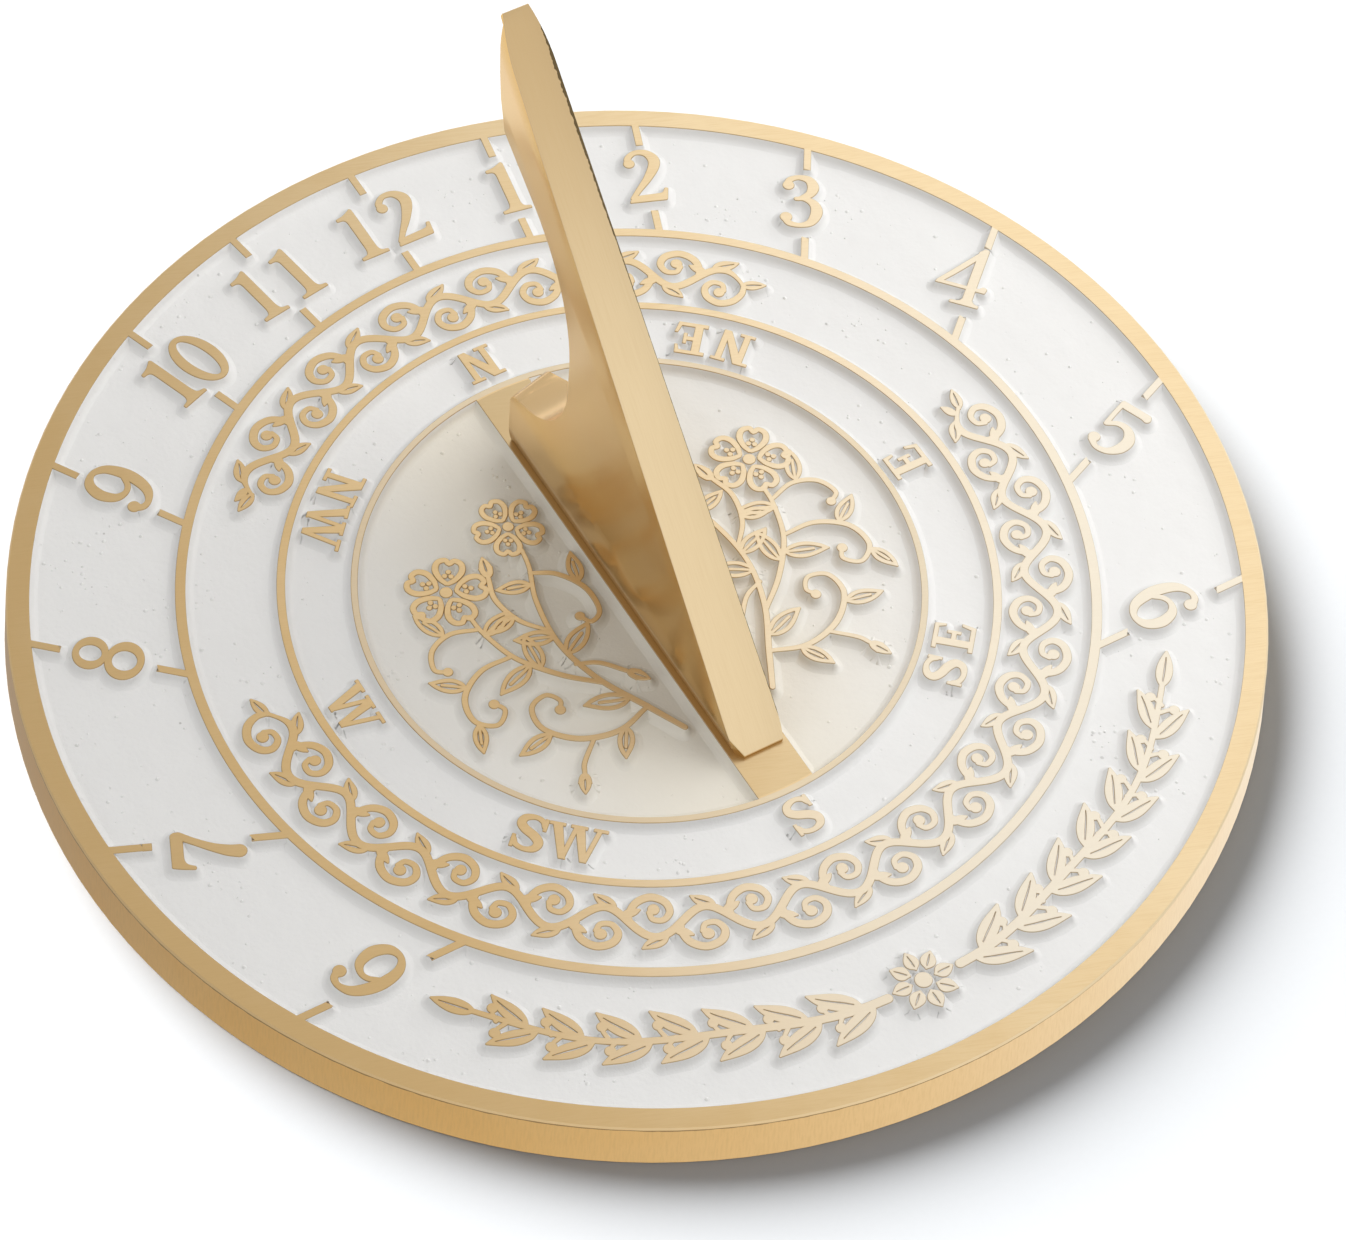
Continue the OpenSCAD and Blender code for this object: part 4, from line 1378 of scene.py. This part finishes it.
# %% [markdown]
# ## The gnomon
#
# The gnomon's sides are buffed until they mirror the dial, and its sloping
# face was rubbed flat on a belt afterwards, so that its edges are sharp and
# true: they throw the shadow. The distance from the sloping plane tells the
# two finishes apart. The solid's edges are ideal, so modifiers round them by a
# hair, because only a rounded edge catches the light as on real metal.

# %% Gnomon material
STYLE = math.radians(48)
RISE = 0.942 * DIAL_R
TIP_Y, TIP_Z = 0.486 * RISE, TOP_Z + RISE
# the sloping face is 9.8 mm wide at 14.2 mm above the ground and narrows upwards
WIDE_HALF, WIDE_Z, NARROWING = 4.9, 14.2, 0.01345
FACE_TIP, UPWARD_LIT_SIDE = (0.630, 0.450, 0.235), (0.820, 0.570, 0.290)
SIDE_DEEP, SIDE_PALE = (0.790, 0.500, 0.195), (0.860, 0.600, 0.260)
FOOT_SHADE, OLD_POLISH = (0.380, 0.215, 0.070), (0.10, 0.07, 0.03)

gnomon_material, tree, shader, where = start("gnomon brass")
xyz = split(tree, where)
# signed distance from the sloping face, in metres: positive inside the metal
off_face = maths(tree, "ADD", maths(tree, "MULTIPLY", xyz[1], math.sin(STYLE)),
                 maths(tree, "MULTIPLY", xyz[2], -math.cos(STYLE)))
off_face = maths(tree, "SUBTRACT", off_face,
                 (TIP_Y * math.sin(STYLE) - TIP_Z * math.cos(STYLE)) * MM)
on_face = span(tree, off_face, 0.10 * MM, 0.22 * MM, 1.0, 0.0)
up_slope = maths(tree, "ADD", maths(tree, "MULTIPLY", xyz[1], math.cos(STYLE)),
                 maths(tree, "MULTIPLY", xyz[2], math.sin(STYLE)))
lengthwise = add(tree, "ShaderNodeCombineXYZ", {0: up_slope, 1: xyz[0], 2: off_face}).outputs[0]
face_grain = place(tree, grain_group, {"Where": lengthwise, "Lines per mm": 4.2,
                                       "Stretch": 40.0})["Grain"]
buff = place(tree, grain_group, {"Where": lengthwise, "Lines per mm": 1.4,
                                 "Stretch": 16.0})["Grain"]
cloud = place(tree, cloud_group, {"Where": where, "Size mm": 14.0, "Contrast": 1.0})
face_colour = blend(tree, span(tree, xyz[2], 55 * MM, 108 * MM), BRASS, FACE_TIP)
face_colour = blend(tree, streaks(tree, face_grain, 0.12), face_colour, BRASS_WORN)
side_colour = blend(tree, cloud["Cloud"], SIDE_DEEP, SIDE_PALE)
# painted light: faces that turn upwards are painted paler, as if lit from above
lean = split(tree, add(tree, "ShaderNodeNewGeometry").outputs["True Normal"])[2]
side_colour = blend(tree, span(tree, lean, 0.35, 0.75), side_colour, UPWARD_LIT_SIDE)
# painted shade and dark reflection on the sides within a few millimetres of the bar
foot_shade = span(tree, xyz[2], (TOP_Z + 0.5) * MM, (TOP_Z + 6.0) * MM, 0.62, 0.0)
side_colour = blend(tree, foot_shade, side_colour, FOOT_SHADE)
# a dark line of old polish along the east edge of the sloping face, widest at
# the tip
half_width = maths(tree, "MULTIPLY_ADD", xyz[2], -NARROWING,
                   (WIDE_HALF + NARROWING * WIDE_Z) * MM)
ragged = add(tree, "ShaderNodeTexNoise",
             {"Vector": lengthwise, "Scale": 900.0, "Detail": 3.0}).outputs["Fac"]
line_w = maths(tree, "MULTIPLY", span(tree, xyz[2], 62 * MM, 100 * MM, 0.10, 0.62),
               maths(tree, "MULTIPLY_ADD", ragged, 1.6, 0.1))
near_edge = maths(tree, "GREATER_THAN", xyz[0],
                  maths(tree, "SUBTRACT", half_width, maths(tree, "MULTIPLY", line_w, MM)))
dark_line = maths(tree, "MULTIPLY", near_edge, span(tree, off_face, 0.5 * MM, 0.9 * MM, 1.0, 0.0))
colour = blend(tree, on_face, side_colour, face_colour)
colour = blend(tree, maths(tree, "MULTIPLY", dark_line, 0.85), colour, OLD_POLISH)
face_rough = maths(tree, "MULTIPLY_ADD", face_grain, 0.16, 0.24)
side_rough = maths(tree, "MULTIPLY_ADD", cloud["Cloud"], 0.10, 0.18)
rough = maths(tree, "MULTIPLY_ADD", on_face, maths(tree, "SUBTRACT", face_rough, side_rough),
              side_rough)
rough = maths(tree, "MAXIMUM", rough, maths(tree, "MULTIPLY", dark_line, 0.6))
height = maths(tree, "MULTIPLY_ADD", on_face, face_grain, maths(tree, "MULTIPLY", buff, 0.35))
feed(tree, shader, color=colour, rough=rough, metal=1.0, normal=bump(tree, height, 0.006))
nodes["gnomon"].material_slots[0].material = gnomon_material

# %% Softened edges
def smooth_by_angle(limit=math.radians(26)):
    """Geometry nodes that shade smoothly across edges flatter than a limit."""
    tree = bpy.data.node_groups.new("Shade by angle", "GeometryNodeTree")
    tree.interface.new_socket("Geometry", in_out="INPUT", socket_type="NodeSocketGeometry")
    tree.interface.new_socket("Geometry", in_out="OUTPUT", socket_type="NodeSocketGeometry")
    start_node, end_node = tree.nodes.new("NodeGroupInput"), tree.nodes.new("NodeGroupOutput")
    angle = tree.nodes.new("GeometryNodeInputMeshEdgeAngle")
    flatter = add(tree, "FunctionNodeCompare", {"A": angle.outputs["Unsigned Angle"],
                                                "B": limit}, operation="LESS_THAN")
    faces = add(tree, "GeometryNodeSetShadeSmooth",
                {"Geometry": start_node.outputs[0], "Shade Smooth": True}, domain="FACE")
    edges = add(tree, "GeometryNodeSetShadeSmooth",
                {"Geometry": faces.outputs[0], "Shade Smooth": flatter.outputs[0]},
                domain="EDGE")
    tree.links.new(edges.outputs[0], end_node.inputs[0])
    return tree


def soften(obj, width_mm):
    """Merges a solid's loose triangles, joins its flat faces, rounds its edges
    by a small radius and shades it. The solid's own mesh isn't touched."""
    weld = obj.modifiers.new("join", "WELD")
    weld.merge_threshold = 1e-6
    flat = obj.modifiers.new("flat faces", "DECIMATE")
    flat.decimate_type, flat.angle_limit = "DISSOLVE", math.radians(0.3)
    round_off = obj.modifiers.new("edges", "BEVEL")
    round_off.width, round_off.segments = width_mm * MM, 3
    round_off.limit_method, round_off.angle_limit = "ANGLE", math.radians(28)
    shade = obj.modifiers.new("shade", "NODES")
    shade.node_group = smooth_by_angle()
    print(obj.name, "modifiers:", [m.name for m in obj.modifiers])


soften(nodes["gnomon"], 0.22)

# %% [markdown]
# ## Screws and washers
#
# Four small zinc-plated parts hold the gnomon from below. Their solids are
# complete, so they only need a finish: plating is a pale grey metal with a
# soft mottle.

# %% Steel
ZINC_DARK, ZINC_PALE = (0.50, 0.51, 0.52), (0.66, 0.66, 0.64)
steel_material, tree, shader, where = start("zinc plated steel")
cloud = place(tree, cloud_group, {"Where": where, "Size mm": 1.6, "Contrast": 1.2})
turned_steel = place(tree, grain_group, {"Where": where, "Lines per mm": 7.0,
                                         "Stretch": 6.0})["Grain"]
feed(tree, shader, color=blend(tree, cloud["Cloud"], ZINC_DARK, ZINC_PALE),
     rough=maths(tree, "MULTIPLY_ADD", cloud["Fine"], 0.2, 0.25), metal=1.0,
     normal=bump(tree, turned_steel, 0.008))
for name in ("gnomon_screw_south", "gnomon_screw_north", "washer_south", "washer_north"):
    nodes[name].material_slots[0].material = steel_material
